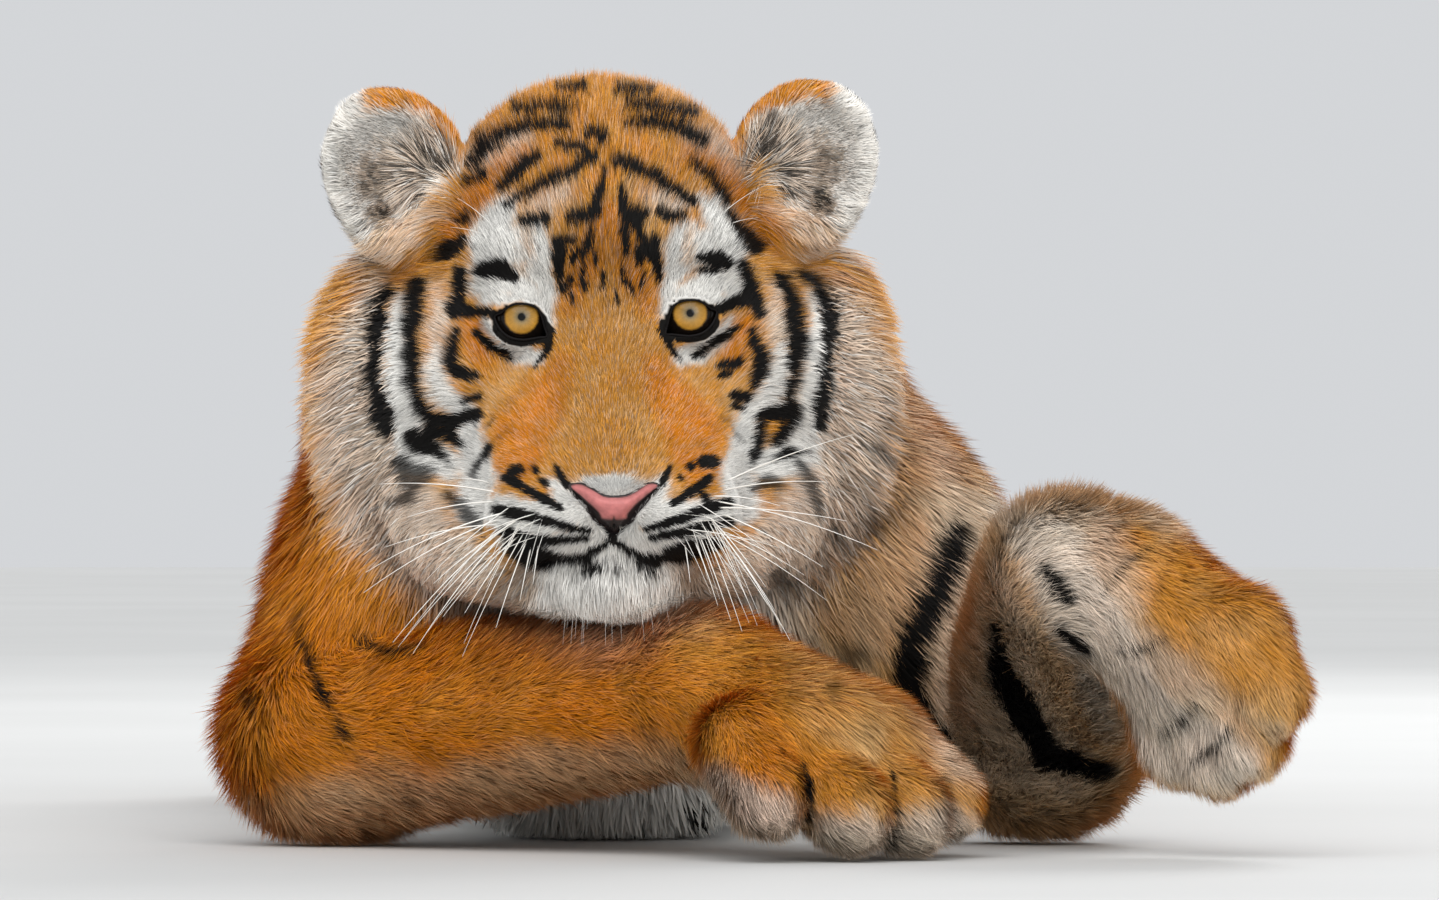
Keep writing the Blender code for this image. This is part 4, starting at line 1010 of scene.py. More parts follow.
def boxed(p, normal):
    """An unwrap of the skin's shape onto six sides, side by side: (u, v) from 0 to 1."""
    side = np.abs(normal).argmax(1)
    facing = 2 * side + (normal[np.arange(len(p)), side] > 0)
    low, high = p.min(0), p.max(0)
    scaled = (p - low) / np.maximum(high - low, 1e-6)
    uv = np.empty((len(p), 2))
    for k in range(6):
        i = facing == k
        u, v = scaled[i][:, [(1, 2), (0, 2), (0, 1)][k // 2]].T
        uv[i, 0] = (k % 3 + 0.03 + 0.94 * u) / 3
        uv[i, 1] = (k // 3 + 0.03 + 0.94 * v) / 2
    return uv


def tuft_mesh(roots, normals, ways, lengths, lift, widths, bend, rng):
    """Blades that rise from their roots along ways: corners (n, k, 3), normals, and how far along each is."""
    count = len(roots)
    side = unit(np.cross(ways, normals))
    rise = np.clip(np.radians(lift) * (1 + 0.25 * rng.standard_normal(count)), 0.1, 1.3)[:, None]
    out = np.cos(rise) * ways + np.sin(rise) * normals
    roll = 0.45 * rng.standard_normal(count)[:, None]
    side = side * np.cos(roll) + np.cross(side, out) * np.sin(roll)
    half, reach = widths[:, None] / 2, lengths[:, None]
    if bend:
        lower = np.cos(rise * 0.45) * ways + np.sin(rise * 0.45) * normals
        middle = roots + out * reach * 0.5
        tip = middle + unit(lower + np.array((0, 0, -0.12))) * reach * 0.52
        foot, waist = side * half * 0.8, side * half
        corners = [roots - foot, roots + foot, middle + waist, middle - waist, tip]
        along = np.array([0, 0, 0.55, 0.55, 1.0])
    else:
        corners = [roots - side * half, roots + side * half, roots + out * reach]
        along = np.array([0, 0, 1.0])
    face = unit(np.cross(side, out))
    face = face * np.sign((face * normals).sum(1))[:, None]
    shading = unit(0.72 * normals + 0.28 * face + 0.10 * rng.standard_normal((count, 3)))
    return np.stack(corners, 1), np.repeat(shading[:, None], len(along), 1), along


BLADE_FACES = {False: [(0, 1, 2)], True: [(0, 1, 2), (0, 2, 3), (3, 2, 4)]}
BLADE_PATCH = {
    False: [(0, 0), (1, 0), (0.5, 1)],
    True: [(0, 0), (1, 0), (1, 0.55), (0, 0.55), (0.5, 1)],
}


def coat_piece(name, sets, material):
    """One mesh of many blades. sets holds corners, normals, along, marks, chance, uv and bend of each."""
    verts, shading, faces, marks, strand, uvs, first = [], [], [], [], [], [], 0
    for corners, normals, along, mark, chance, uv, bend in sets:
        count, k = corners.shape[:2]
        if not count:
            continue
        verts.append(corners.reshape(-1, 3))
        shading.append(normals.reshape(-1, 3))
        starts = first + k * np.arange(count)
        faces.append((np.array(BLADE_FACES[bend]) + starts[:, None, None]).reshape(-1, 3))
        first += count * k
        share = along[None, :, None]
        marks.append((mark[:, :1] * (1 - share) + mark[:, 1:] * share).reshape(-1, 3))
        # How far along its blade each corner lies; the coat's colour darkens towards the root by it, as
        # painted shade.
        strand.append(np.stack([np.tile(along, count), np.repeat(chance, k), np.zeros(count * k)], 1))
        patch = (np.array(BLADE_PATCH[bend]) - 0.5) * PATCH
        uvs.append((uv[:, None] + patch).reshape(-1, 2))
    verts, faces = np.concatenate(verts), np.concatenate(faces)
    verts[:, 2] = np.maximum(verts[:, 2], 0.03)  # above the floor
    mesh = bpy.data.meshes.new(name)
    mesh.vertices.add(len(verts))
    mesh.vertices.foreach_set("co", ((verts + SHIFT) * CM).ravel())
    mesh.loops.add(faces.size)
    mesh.loops.foreach_set("vertex_index", faces.ravel())
    mesh.polygons.add(len(faces))
    mesh.polygons.foreach_set("loop_start", np.arange(0, faces.size, 3))
    mesh.polygons.foreach_set("use_smooth", np.ones(len(faces), bool))
    mesh.update()
    mesh.uv_layers.new(name="OFBake").data.foreach_set("uv", np.concatenate(uvs)[faces.ravel()].ravel())
    put_vectors(mesh, "marks", np.concatenate(marks))
    put_vectors(mesh, "strand", np.concatenate(strand))
    put_vectors(mesh, "custom_normal", np.concatenate(shading))
    mesh.materials.append(material)
    piece = placed(name, mesh)
    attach(piece, "root")


def at_places(values, corners, weights):
    """Values given for a mesh's points, at places on its faces."""
    return np.einsum("nk,nk...->n...", weights, values[corners])


def rooted(skin, rng):
    """The tufts: for each its root, part, markings' place, and its way, length, lift, width and chance."""
    points, faces = skin["points"], skin["faces"]
    kinds = np.array([TUFTS.get(name, (0, 0, 0, False)) for name in skin["names"]], float)
    part_of_face = skin["nearest"][faces[:, 0]]
    wanted = kinds[part_of_face, 0]
    wanted[points[faces][:, :, 2].max(1) < 0.6] *= 0.35  # against the floor
    wanted *= skin["open"][faces].min(1)
    face, weights = scattered(points, faces, wanted, rng)
    corners, part = faces[face], part_of_face[face]
    keys = ("points", "normals", "lie", "depth", "shares", "along")
    roots, normals, lie, depth, shares, along = (at_places(skin[key], corners, weights) for key in keys)
    normals, ears, count = unit(normals), skin["ears"][corners[:, 0]], len(roots)
    _, width, lift, bend = kinds[part].T
    clump = np.stack([grain(roots, 1.1, 20 + k) + 0.6 * grain(roots, 0.45, 23 + k) for k in range(3)], 1)
    size = smooth(0.3, 2.0, depth)[:, None]
    ways = unit(lie) + (0.2 + 0.16 * size) * clump + 0.13 * rng.standard_normal(roots.shape)
    ways = unit(ways - normals * (ways * normals).sum(1)[:, None])
    lengths = depth / np.sin(np.radians(lift)) * (0.82 + 0.12 * clump[:, 0] + 0.16 * rng.random(count))
    fluff = (np.abs(ears) > 1.5) & (depth > 0.8)
    lengths *= np.where(fluff, 0.35 + 0.75 * rng.random(count), 1.0)
    chance = np.clip(0.5 + 0.3 * grain(roots, 0.7, 30) + 0.6 * (rng.random(count) - 0.5), 0, 1)
    return {"roots": roots, "normals": normals, "ways": ways, "lengths": lengths, "lift": lift, "bend": bend,
            "width": width * (0.8 + 0.4 * chance), "chance": chance, "part": part, "shares": shares,
            "along": along, "ears": ears}


def tuft_marks(tufts, rng):
    """The markings near the root and near the tip of each tuft, as the places that they cover have them."""
    roots, normals, chance = tufts["roots"], tufts["normals"], tufts["chance"]
    count, rise = len(roots), np.radians(tufts["lift"])
    grizzled, jitter, streaky = rng.random(count), rng.random(count), rng.random(count) < 0.22
    blur = 0.06 * rng.standard_normal(roots.shape)
    streak = 0.06 + 0.22 * tufts["shares"][:, 0]
    marks = []
    for way_along in (0.5, 0.9):
        over = tufts["lengths"] * (way_along + 0.3 * (jitter - 0.5)) * (tufts["ears"] == 0)
        ahead, raised = (over * np.cos(rise))[:, None], (over * np.sin(rise))[:, None]
        seen = roots + tufts["ways"] * ahead + normals * raised
        at = marks_at(seen + blur, normals, tufts["shares"], tufts["along"] + over, tufts["ears"])
        white = np.where(streaky, np.minimum(at[:, 0] + streak, 1), at[:, 0])
        black = np.where(grizzled < at[:, 3], most(at[:, 1], 0.25 + 0.29 * chance), at[:, 1])
        marks.append(np.stack([white, black, at[:, 2]], 1))
    return np.stack(marks, 1)


def grow_coat(skin, material):
    """All the coat pieces, rooted on the skin."""
    rng = np.random.default_rng(SEED)
    tufts = rooted(skin, rng)
    tufts["marks"] = tuft_marks(tufts, rng)
    for coat, parts in COATS.items():
        chosen = np.isin(tufts["part"], [skin["names"].index(part) for part in parts])
        own = {key: value[chosen] for key, value in tufts.items()}
        own["uv"] = boxed(own["roots"], own["normals"])
        sets = []
        for bend in (False, True):
            some = {key: value[own["bend"] == bend] for key, value in own.items()}
            shape = [some[key] for key in ("roots", "normals", "ways", "lengths", "lift", "width")]
            sets.append((*tuft_mesh(*shape, bend, rng), some["marks"], some["chance"], some["uv"], bend))
        coat_piece(coat, sets, material)


# ---- Skin mesh, with what the coat needs to know --------------------------------------------------


def bare_places(points, q):
    """1 where there is no hair: round the eyes, on the nose pad, in the nostrils and down to the lips."""
    bare = np.zeros(len(points))
    for side in SIDES.values():
        inward, up = (side * EYE_APART - q[:, 0]) * side, q[:, 2]
        rim = 0.03 + 0.28 * smooth(0.1, -0.8, up) + 0.12 * smooth(0.7, 1.3, inward)
        lid = smooth(rim + 0.12, rim, eye_opening(points, side)) * (np.abs(inward) < 3)
        socket = np.linalg.norm(q - (side * EYE_APART, EYE_RADIUS, 0), axis=1) < EYE_RADIUS + 0.1
        bare = most(bare, lid, socket)
    x, z = front(points)
    ahead = (q[:, 1] < -5) & (np.abs(z + 10) < 3)
    nose = most(smooth(0.1, -0.02, pad_distance(x, z)), drawn(x, z, NOSTRILS + PHILTRUM, 0.2))
    return most(bare, nose * ahead)


def make_skin(material):
    """The skin's piece, and what the coat needs to know about it."""
    axes = [spaced(-25.5, 40, -7.4, 7.4), spaced(-17, 140, -10.6, 3.0), spaced(-0.7, 43.5, 14.0, 31.6)]
    points, quads = surface_net(values_on(axes), axes)
    points = settle(points)
    faces = triangles_of(quads)
    cross = np.cross(points[faces[:, 1]] - points[faces[:, 0]], points[faces[:, 2]] - points[faces[:, 0]])
    normals = np.zeros_like(points)
    for k in range(3):
        np.add.at(normals, faces[:, k], cross)
    normals = unit(normals)
    depth, lie, shares, along, nearest, names = coat_facts(points)
    names = [*names, "ear_right", "ear_left", "ruff", "nape"]
    ears = ear_facts(points, normals, depth, lie, nearest, names)
    q = in_head(points)
    ruff = (np.abs(q[:, 0]) > 10.6) | (q[:, 1] > 9.5) | (q[:, 2] < -11)
    ruff &= (nearest == names.index("head")) & (ears == 0)
    nearest[ruff] = names.index("ruff")
    nearest[ruff & (q[:, 1] > 13)] = names.index("nape")
    lie = unit(lie - normals * (lie * normals).sum(1)[:, None])
    bare = bare_places(points, q)
    marks = marks_at(points, normals, shares, along, ears)
    # Bare places are black: the dark skin of the lids, eye sockets and nose, and painted shade inside the
    # nostrils.
    marks[:, 1] = most(marks[:, 1], bare)
    piece = new_piece("skin", points, quads.tolist(), material)
    put_vectors(piece.data, "marks", marks[:, :3])
    # Painted shade: the skin is coloured as a hair near its root, darkened as if under the coat.
    put_vectors(piece.data, "strand", np.tile([0.35, 0.5, 0.0], (len(points), 1)))
    facts = {"points": points, "faces": faces, "normals": normals, "depth": depth, "lie": lie,
             "shares": shares, "along": along, "nearest": nearest, "names": names, "ears": ears,
             "open": 1 - bare}
    return piece, facts


# ---- Eyes, lids, nose and whiskers ----------------------------------------------------------------

IRIS = 0.95
# The edge of the lids round the middle of the eye: (towards the nose, up), from the corner over the top.
LID_LINE = [
    (1.34, -1.06), (1.22, -0.55), (1.08, -0.05), (0.86, 0.38), (0.5, 0.6), (0.05, 0.68), (-0.38, 0.66),
    (-0.78, 0.48), (-1.12, 0.22), (-1.42, 0.06), (-1.3, -0.4), (-1.0, -0.82), (-0.58, -1.1), (0.0, -1.22),
    (0.52, -1.18), (0.96, -1.12),
]
NOSE_PAD = [
    (-1.88, -9.14), (-1.3, -9.05), (-0.59, -9.41), (-0.14, -9.67), (0.39, -9.74), (1.11, -9.67),
    (1.73, -9.36), (2.27, -9.01), (2.76, -9.1), (2.18, -9.59), (1.64, -10.08), (1.2, -10.57),
    (1.06, -10.92), (0.39, -11.04), (-0.19, -10.92), (-0.37, -10.57), (-0.77, -10.17), (-1.3, -9.67),
]
NOSTRILS = [
    [(-1.8, -9.42, 0.14), (-1.24, -9.96, 0.24), (-0.7, -10.43, 0.38), (-0.43, -10.8, 0.44),
     (-0.1, -11.15, 0.32), (0.24, -11.5, 0.25)],
    [(2.66, -9.36, 0.14), (2.07, -9.9, 0.24), (1.55, -10.36, 0.38), (1.28, -10.76, 0.44),
     (0.97, -11.15, 0.32), (0.64, -11.5, 0.25)],
]
PHILTRUM = [
    [(0.42, -10.75, 0.06), (0.42, -11.35, 0.3), (0.39, -12.0, 0.3)],
]


def pad_distance(x, z):
    """Distance to the edge of the nose pad on the front of the head, less than zero inside it."""
    return outline_distance(x, z, curve_through(NOSE_PAD, 3, closed=True))


def outline_distance(u, v, loop):
    """Distance to a closed line in a plane, less than zero inside it."""
    p, best, inside = np.stack([u, v], 1), np.full(len(u), 99.0), np.zeros(len(u), bool)
    for a, b in zip(loop, np.roll(loop, -1, 0)):
        along = b - a
        t = np.clip((p - a) @ along / max(along @ along, 1e-12), 0, 1)
        best = np.minimum(best, np.linalg.norm(p - a - np.multiply.outer(t, along), axis=1))
        if abs(b[1] - a[1]) > 1e-12:
            crosses = ((a[1] > v) != (b[1] > v)) & (u < (b[0] - a[0]) * (v - a[1]) / (b[1] - a[1]) + a[0])
            inside ^= crosses
    return np.where(inside, -best, best)


def front_of_skin(x, z):
    """Where the line of sight at (across, up) meets the skin of the head, with the eyes closed."""
    ray = unit(np.stack([x, np.full(len(x), VIEW_DISTANCE), np.asarray(z) + VIEW_DROP], 1))
    start = (VIEW_DISTANCE - 12.5) / ray[:, 1]  # just ahead of the nose
    p = HEAD_AT - (0, VIEW_DISTANCE, VIEW_DROP) + ray * start[:, None]
    for _ in range(26):
        p = p + ray * (np.clip(body_distance(p, False), -0.5, 2.0) * 0.8)[:, None]
    return p


def swept(line, radii, sides=8, closed=True):
    """Points and faces of a round tube along a line of points."""
    line, radii = np.array(line), np.array(radii)
    tangent = unit(np.roll(line, -1, 0) - np.roll(line, 1, 0) if closed else np.gradient(line, axis=0))
    across = unit(np.cross(tangent, (0.0, 1.0, 0.02)))
    up = np.cross(across, tangent)
    angle = 2 * np.pi * np.arange(sides) / sides
    ring = np.cos(angle)[None, :, None] * across[:, None] + np.sin(angle)[None, :, None] * up[:, None]
    points = (line[:, None] + radii[:, None, None] * ring).reshape(-1, 3)
    faces = []
    for i in range(len(line) if closed else len(line) - 1):
        j = (i + 1) % len(line)
        for k in range(sides):
            m = (k + 1) % sides
            faces.append((i * sides + k, i * sides + m, j * sides + m, j * sides + k))
    return points, faces


def make_eye(name, side, material):
    """An eyeball whose clear front bulges, with its iris painted below the gloss."""
    rings, spokes = 40, 56
    verts, place, faces = [], [], []
    for i in range(rings + 1):
        tilt = math.pi * (i / rings) ** 1.35
        bulge = EYE_RADIUS + 0.07 * math.exp(-((tilt / 0.62) ** 4)) - 0.03
        far = 1.0 if tilt < math.pi / 2 else 9.0  # keeps the iris off the back
        for k in range(spokes):
            turn = 2 * math.pi * k / spokes
            x, z = math.sin(tilt) * math.cos(turn) * bulge, math.sin(tilt) * math.sin(turn) * bulge
            verts.append((x, -math.cos(tilt) * bulge, z))
            place.append((x * -side / IRIS * far, z / IRIS * far, 0.0))
    for i in range(rings):
        for k in range(spokes):
            m = (k + 1) % spokes
            faces.append((i * spokes + k, i * spokes + m, (i + 1) * spokes + m, (i + 1) * spokes + k))
    points = np.array(verts) @ HEAD_TURN.T + eye_middle(side)
    piece = new_piece(f"eyeball_{name}", points, faces, material)
    put_vectors(piece.data, "iris", np.array(place))
    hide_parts(f"eye_{name}")
    reworked(
        piece.data,
        lambda bm: bmesh.ops.remove_doubles(bm, verts=bm.verts, dist=1e-6),
        lambda bm: bmesh.ops.recalc_face_normals(bm, faces=bm.faces),
    )


def make_lids(name, side, material):
    """The rim of the lids, a tube that is thicker below the eye."""
    across, up = curve_through(LID_LINE, 5, closed=True).T
    reach = EYE_RADIUS + 0.13
    on_ball = EYE_RADIUS - np.sqrt(np.maximum(reach**2 - across**2 - up**2, 0.15))
    flat = np.array([on_head(side * EYE_APART - side * u, 0.5, v) for u, v in zip(across, up)])
    on_skin = in_head(front_of_skin(*front(flat)))[:, 1] + 0.1
    line = np.stack([side * EYE_APART - side * across, np.minimum(on_ball, on_skin), up], 1)
    points, faces = swept([on_head(*p) for p in line], 0.04 + 0.03 * smooth(0.3, -0.7, up))
    new_piece(f"lids_{name}", points, faces, material)


def make_nose(material):
    """The bare pad of the nose, with its nostrils, as a sheet that sinks into the skin at its edges."""
    step = 0.06
    xs, zs = np.arange(-2.6, 3.5, step), np.arange(-12.3, -8.3, step)
    x, z = (m.ravel() for m in np.meshgrid(xs, zs, indexing="ij"))
    pad = pad_distance(x, z)
    slit = drawn(x, z, NOSTRILS, 0.16)
    groove = drawn(x, z, PHILTRUM, 0.12)
    below = smooth(0.55, 0.2, np.hypot((x - 0.4) / 1.15, z + 11.25))
    height = 0.26 * smooth(0.12, -0.35, pad) + 0.1 * below - 0.3 * smooth(0.1, 0.5, pad) * (1 - below)
    height += 0.1 * slit - 0.5 * smooth(0.3, 1, slit) * smooth(-0.1, 0.06, pad) - 0.12 * groove
    places = front_of_skin(x, z) + np.multiply.outer(height, HEAD_TURN @ np.array([0, -1.0, 0]))
    kept = np.minimum(np.minimum(pad, 0.6 - below), 0.6 - slit) < 0.5
    faces, columns = [], len(zs)
    for i, k in itertools.product(range(len(xs) - 1), range(columns - 1)):
        at = i * columns + k
        if kept[at]:
            faces.append((at + columns, at + columns + 1, at + 1, at))
    piece = new_piece("nose_pad", places, faces, material)
    # Dark outside the pad, and so in the sunken nostril slits just beyond its edge: dark skin, and painted
    # shade inside the nostrils.
    dark = np.clip(smooth(-0.05, 0.05, pad) + 0.9 * smooth(-10.75, -11.05, z) + 0.7 * groove, 0, 1)
    dark = np.clip(dark + 0.35 * smooth(-0.25, 0.02, pad), 0, 1)
    put_vectors(piece.data, "pad", np.stack([dark, dark, dark], 1))
    reworked(piece.data, lambda bm: bmesh.ops.delete(
        bm, geom=[v for v in bm.verts if not v.link_faces], context="VERTS"))
    return piece


# (across, up) at the root and at the tip of each long whisker.
WHISKERS = [
    (-5.8, -9.5, -12.3, -9.0), (-5.9, -10.0, -10.7, -10.8), (-5.4, -10.6, -13.0, -13.8),
    (-5.6, -10.9, -13.1, -14.9), (-5.0, -11.1, -11.5, -17.6), (-5.3, -11.6, -10.4, -18.2),
    (-4.6, -11.8, -8.8, -16.2), (-4.9, -12.0, -7.6, -16.0), (-4.2, -12.0, -5.9, -16.8),
    (-4.0, -12.4, -4.6, -15.3), (-3.6, -12.3, -3.9, -14.4), (-5.7, -11.2, -11.9, -12.4),
    (-4.6, -10.9, -9.3, -14.4), (-6.1, -9.0, -8.4, -8.7), (6.2, -9.4, 12.0, -8.9), (6.4, -8.9, 13.4, -6.3),
    (5.9, -10.0, 14.7, -12.6), (6.1, -10.6, 11.7, -13.5), (5.6, -11.0, 9.9, -17.5),
    (5.9, -11.4, 9.1, -15.9), (5.2, -11.4, 7.3, -17.0), (5.0, -11.8, 6.7, -16.4), (4.7, -12.0, 6.0, -15.6),
    (4.2, -12.2, 4.5, -14.3), (6.0, -10.3, 13.0, -11.0), (5.4, -10.7, 8.6, -14.6), (5.7, -9.7, 9.4, -10.2),
    (6.1, 5.3, 8.6, 7.0), (6.5, 4.8, 8.2, 5.2), (-6.0, 4.7, -8.0, 6.3), (-6.2, 4.2, -8.4, 4.7),
]


def random_whiskers(rng, count, across, up, reaches, droops, thick):
    """Whiskers of the lips as (across and up at root and tip, thickness), drawn from those ranges."""
    made = []
    for _ in range(count):
        side = rng.choice((-1, 1))
        x, z = 0.2 + side * rng.uniform(*across), rng.uniform(*up)
        reach, down = rng.uniform(*reaches), rng.uniform(*droops)
        made.append(((x, z, x + side * reach * math.cos(down), z - reach * math.sin(down)), thick))
    return made


def make_whiskers(material):
    """Whiskers of the lips, brows and chin, as one mesh of fine tapered tubes."""
    rng = np.random.default_rng(SEED + 1)
    wanted = [(w, 0.046 if w[1] < 0 else 0.024) for w in WHISKERS]
    wanted += random_whiskers(rng, 18, (3.8, 6.0), (-12.0, -9.4), (4.5, 8.5), (0.1, 1.2), 0.032)
    wanted += random_whiskers(rng, 34, (3.2, 5.6), (-12.2, -10.2), (1.6, 4.2), (-0.1, 1.3), 0.022)
    for _ in range(14):
        x = rng.uniform(-2.4, 3.2)
        wanted.append(((x, -14.6, x * 1.15, -16.8 - rng.random()), 0.012))
    roots = front_of_skin(*np.array([w[:2] for w, _ in wanted]).T)
    verts, faces = [], []
    for root, ((x, z, tip_x, tip_z), thick) in zip(roots, wanted):
        way = np.array([tip_x - x, 0, tip_z - z])
        reach = np.linalg.norm(way)
        way[1] = -reach * rng.uniform(0.05, 0.25)
        t = np.linspace(0, 1, 11)[:, None]
        bow = np.array((0, 0.2, 0.1 + 0.1 * rng.random())) * reach * (t - t**2)
        points, quads = swept(root + way * (t - 0.04) + bow, thick * (1 - 0.8 * t[:, 0]), 4, closed=False)
        faces += [tuple(k + len(verts) for k in f) for f in quads]
        verts += points.tolist()
    new_piece("whiskers", np.array(verts), faces, material)


# ---- Finishes -------------------------------------------------------------------------------------

ORANGE_DEEP = (0.70, 0.225, 0.006, 1)
ORANGE = (0.71, 0.305, 0.036, 1)
TAN = (0.78, 0.48, 0.19, 1)
WHITE = (0.90, 0.88, 0.83, 1)
BLACK = (0.0065, 0.0058, 0.0052, 1)


def node(tree, kind, inputs=None, **settings):
    """A node with its settings, and its inputs given by name or number as values or as sockets to link."""
    made = tree.nodes.new("ShaderNode" + kind)
    for key, value in settings.items():
        setattr(made, key, value)
    for key, value in (inputs or {}).items():
        if isinstance(value, bpy.types.NodeSocket):
            tree.links.new(value, made.inputs[key])
        else:
            made.inputs[key].default_value = value
    return made


def ramp(tree, factor, *stops):
    """The colour at factor between stops of (place, colour)."""
    made = node(tree, "ValToRGB", {0: factor})
    elements = made.color_ramp.elements
    while len(elements) < len(stops):
        elements.new(0.5)
    for element, (place, colour) in zip(elements, stops):
        element.position = place
        element.color = (*colour[:3], 1)
    return made.outputs[0]


def mixed(tree, factor, a, b):
    return node(tree, "Mix", {0: factor, 6: a, 7: b}, data_type="RGBA").outputs[2]


def math_of(tree, operation, *values):
    return node(tree, "Math", dict(enumerate(values)), operation=operation).outputs[0]


def mapped(tree, value, low=0.0, high=1.0, to_low=0.0, to_high=1.0, **settings):
    """A value between low and high, taken to the same place between two others."""
    limits = {0: value, 1: low, 2: high, 3: to_low, 4: to_high}
    return node(tree, "MapRange", limits, **settings).outputs[0]


def scaled(tree, colour, by):
    return node(tree, "VectorMath", {0: colour, "Scale": by}, operation="SCALE").outputs[0]


def own_place(tree):
    return node(tree, "TexCoord").outputs["Object"]


def noise(tree, place, scale, detail, roughness=0.5):
    inputs = {"Vector": place, "Scale": scale, "Detail": detail, "Roughness": roughness}
    return node(tree, "TexNoise", inputs).outputs["Fac"]


def finish(shader, values):
    """Gives a shader's inputs their constant values."""
    for name, value in values.items():
        shader.inputs[name].default_value = value


def new_group(name, inputs, outputs):
    """(tree, its input node, its output node). Sockets are given as (name, type)."""
    tree = bpy.data.node_groups.new(name, "ShaderNodeTree")
    for label, kind in inputs:
        tree.interface.new_socket(label, in_out="INPUT", socket_type="NodeSocket" + kind)
    for label, kind in outputs:
        tree.interface.new_socket(label, in_out="OUTPUT", socket_type="NodeSocket" + kind)
    return tree, tree.nodes.new("NodeGroupInput"), tree.nodes.new("NodeGroupOutput")


def new_material(name):
    """(material, its tree, its Principled shader)."""
    made = bpy.data.materials.new(name)
    made.use_nodes = True
    tree = made.node_tree
    return made, tree, tree.nodes["Principled BSDF"]


def striped_coat_group():
    """Colour of the coat from its markings: x is white, y is black and z is how deep the orange is. Each hair
    is darkened towards its root as painted shade within the coat, and is a little lighter at its tip.
    """
    tree, given, result = new_group(
        "Striped coat",
        [("Marks", "Vector"), ("Strand", "Vector"), ("Painted Root Shadow", "Float")],
        [("Color", "Color")],
    )
    white, dark, rich = node(tree, "SeparateXYZ", {0: given.outputs["Marks"]}).outputs
    way_up, chance, _ = node(tree, "SeparateXYZ", {0: given.outputs["Strand"]}).outputs
    patchy = math_of(tree, "SUBTRACT", noise(tree, own_place(tree), 42.0, 3.0), 0.5)
    depth = math_of(tree, "ADD", rich, math_of(tree, "MULTIPLY", patchy, 0.3))
    orange = ramp(tree, depth, (0.08, TAN), (0.5, ORANGE), (0.95, ORANGE_DEEP))
    fleck = mapped(tree, chance, to_low=0.66, to_high=1.22)
    # Painted shade: darker from the tip down to the root, as the coat shades its own depths.
    shadowed_roots = mapped(tree, way_up, to_low=given.outputs["Painted Root Shadow"], to_high=1.14)
    lit = scaled(tree, mixed(tree, white, orange, WHITE), math_of(tree, "MULTIPLY", fleck, shadowed_roots))
    black = mapped(tree, dark, 0.12, 0.72, interpolation_type="SMOOTHSTEP")
    tree.links.new(mixed(tree, black, lit, BLACK), result.inputs["Color"])
    return tree


def coat_material(name, group, painted_root_shadow, roughness, bump):
    material, tree, shader = new_material(name)
    marks = node(tree, "Attribute", attribute_name="marks").outputs["Vector"]
    strand = node(tree, "Attribute", attribute_name="strand").outputs["Vector"]
    inputs = {"Painted Root Shadow": painted_root_shadow, "Marks": marks, "Strand": strand}
    coat = node(tree, "Group", inputs, node_tree=group)
    tree.links.new(coat.outputs["Color"], shader.inputs["Base Color"])
    finish(shader, {"Roughness": roughness, "Specular IOR Level": 0.12})
    if bump:
        hairy = noise(tree, own_place(tree), 520.0, 4.0, 0.6)
        raised = node(tree, "Bump", {"Height": hairy, "Strength": bump, "Distance": 0.002})
        tree.links.new(raised.outputs[0], shader.inputs["Normal"])
    return material


def eye_material():
    """An amber iris of fine spokes, darker at its edge, with a painted shadow of the upper lid over its top
    and a painted reflection lightening its lower half, and a small round pupil.
    """
    material, tree, shader = new_material("amber_eye")
    place = node(tree, "Attribute", attribute_name="iris").outputs["Vector"]
    away = node(tree, "VectorMath", {0: place}, operation="LENGTH").outputs["Value"]
    across, up, _ = node(tree, "SeparateXYZ", {0: place}).outputs
    angle = math_of(tree, "ARCTAN2", up, across)
    spoke = node(tree, "CombineXYZ", {
        0: math_of(tree, "MULTIPLY", math_of(tree, "COSINE", angle), 7.0),
        1: math_of(tree, "MULTIPLY", math_of(tree, "SINE", angle), 7.0),
        2: math_of(tree, "MULTIPLY", away, 2.2),
    }).outputs[0]
    fibre = noise(tree, spoke, 1.6, 5.0, 0.65)
    waver = math_of(tree, "MULTIPLY", math_of(tree, "SUBTRACT", fibre, 0.5), 0.16)
    iris = ramp(
        tree, math_of(tree, "ADD", away, waver),
        (0.20, (0.10, 0.08, 0.05)), (0.34, (0.27, 0.19, 0.085)), (0.56, (0.40, 0.22, 0.05)),
        (0.86, (0.44, 0.22, 0.03)), (0.95, (0.14, 0.07, 0.012)), (1.0, (0.006, 0.004, 0.003)),
    )
    # Painted shadow and reflection: the iris is darker under the upper lid and lighter over its lower half.
    painted_lid_shadow_and_reflection = mapped(tree, up, -0.4, 0.75, 1.12, 0.36)
    shade = math_of(tree, "MULTIPLY", painted_lid_shadow_and_reflection, mapped(tree, fibre, 0.3, 0.7, 0.84, 1.16))
    cloud = mapped(tree, noise(tree, place, 2.2, 2.0), to_low=0.7, to_high=1.3)
    lit = scaled(tree, iris, math_of(tree, "MULTIPLY", shade, cloud))
    pupil = mapped(tree, away, 0.19, 0.235, 1.0, 0.0)
    tree.links.new(mixed(tree, pupil, lit, (0.002, 0.002, 0.002, 1)), shader.inputs["Base Color"])
    finish(shader, {"Roughness": 0.4, "Coat Weight": 0.35, "Coat Roughness": 0.03,
                    "Specular IOR Level": 0.05})
    return material


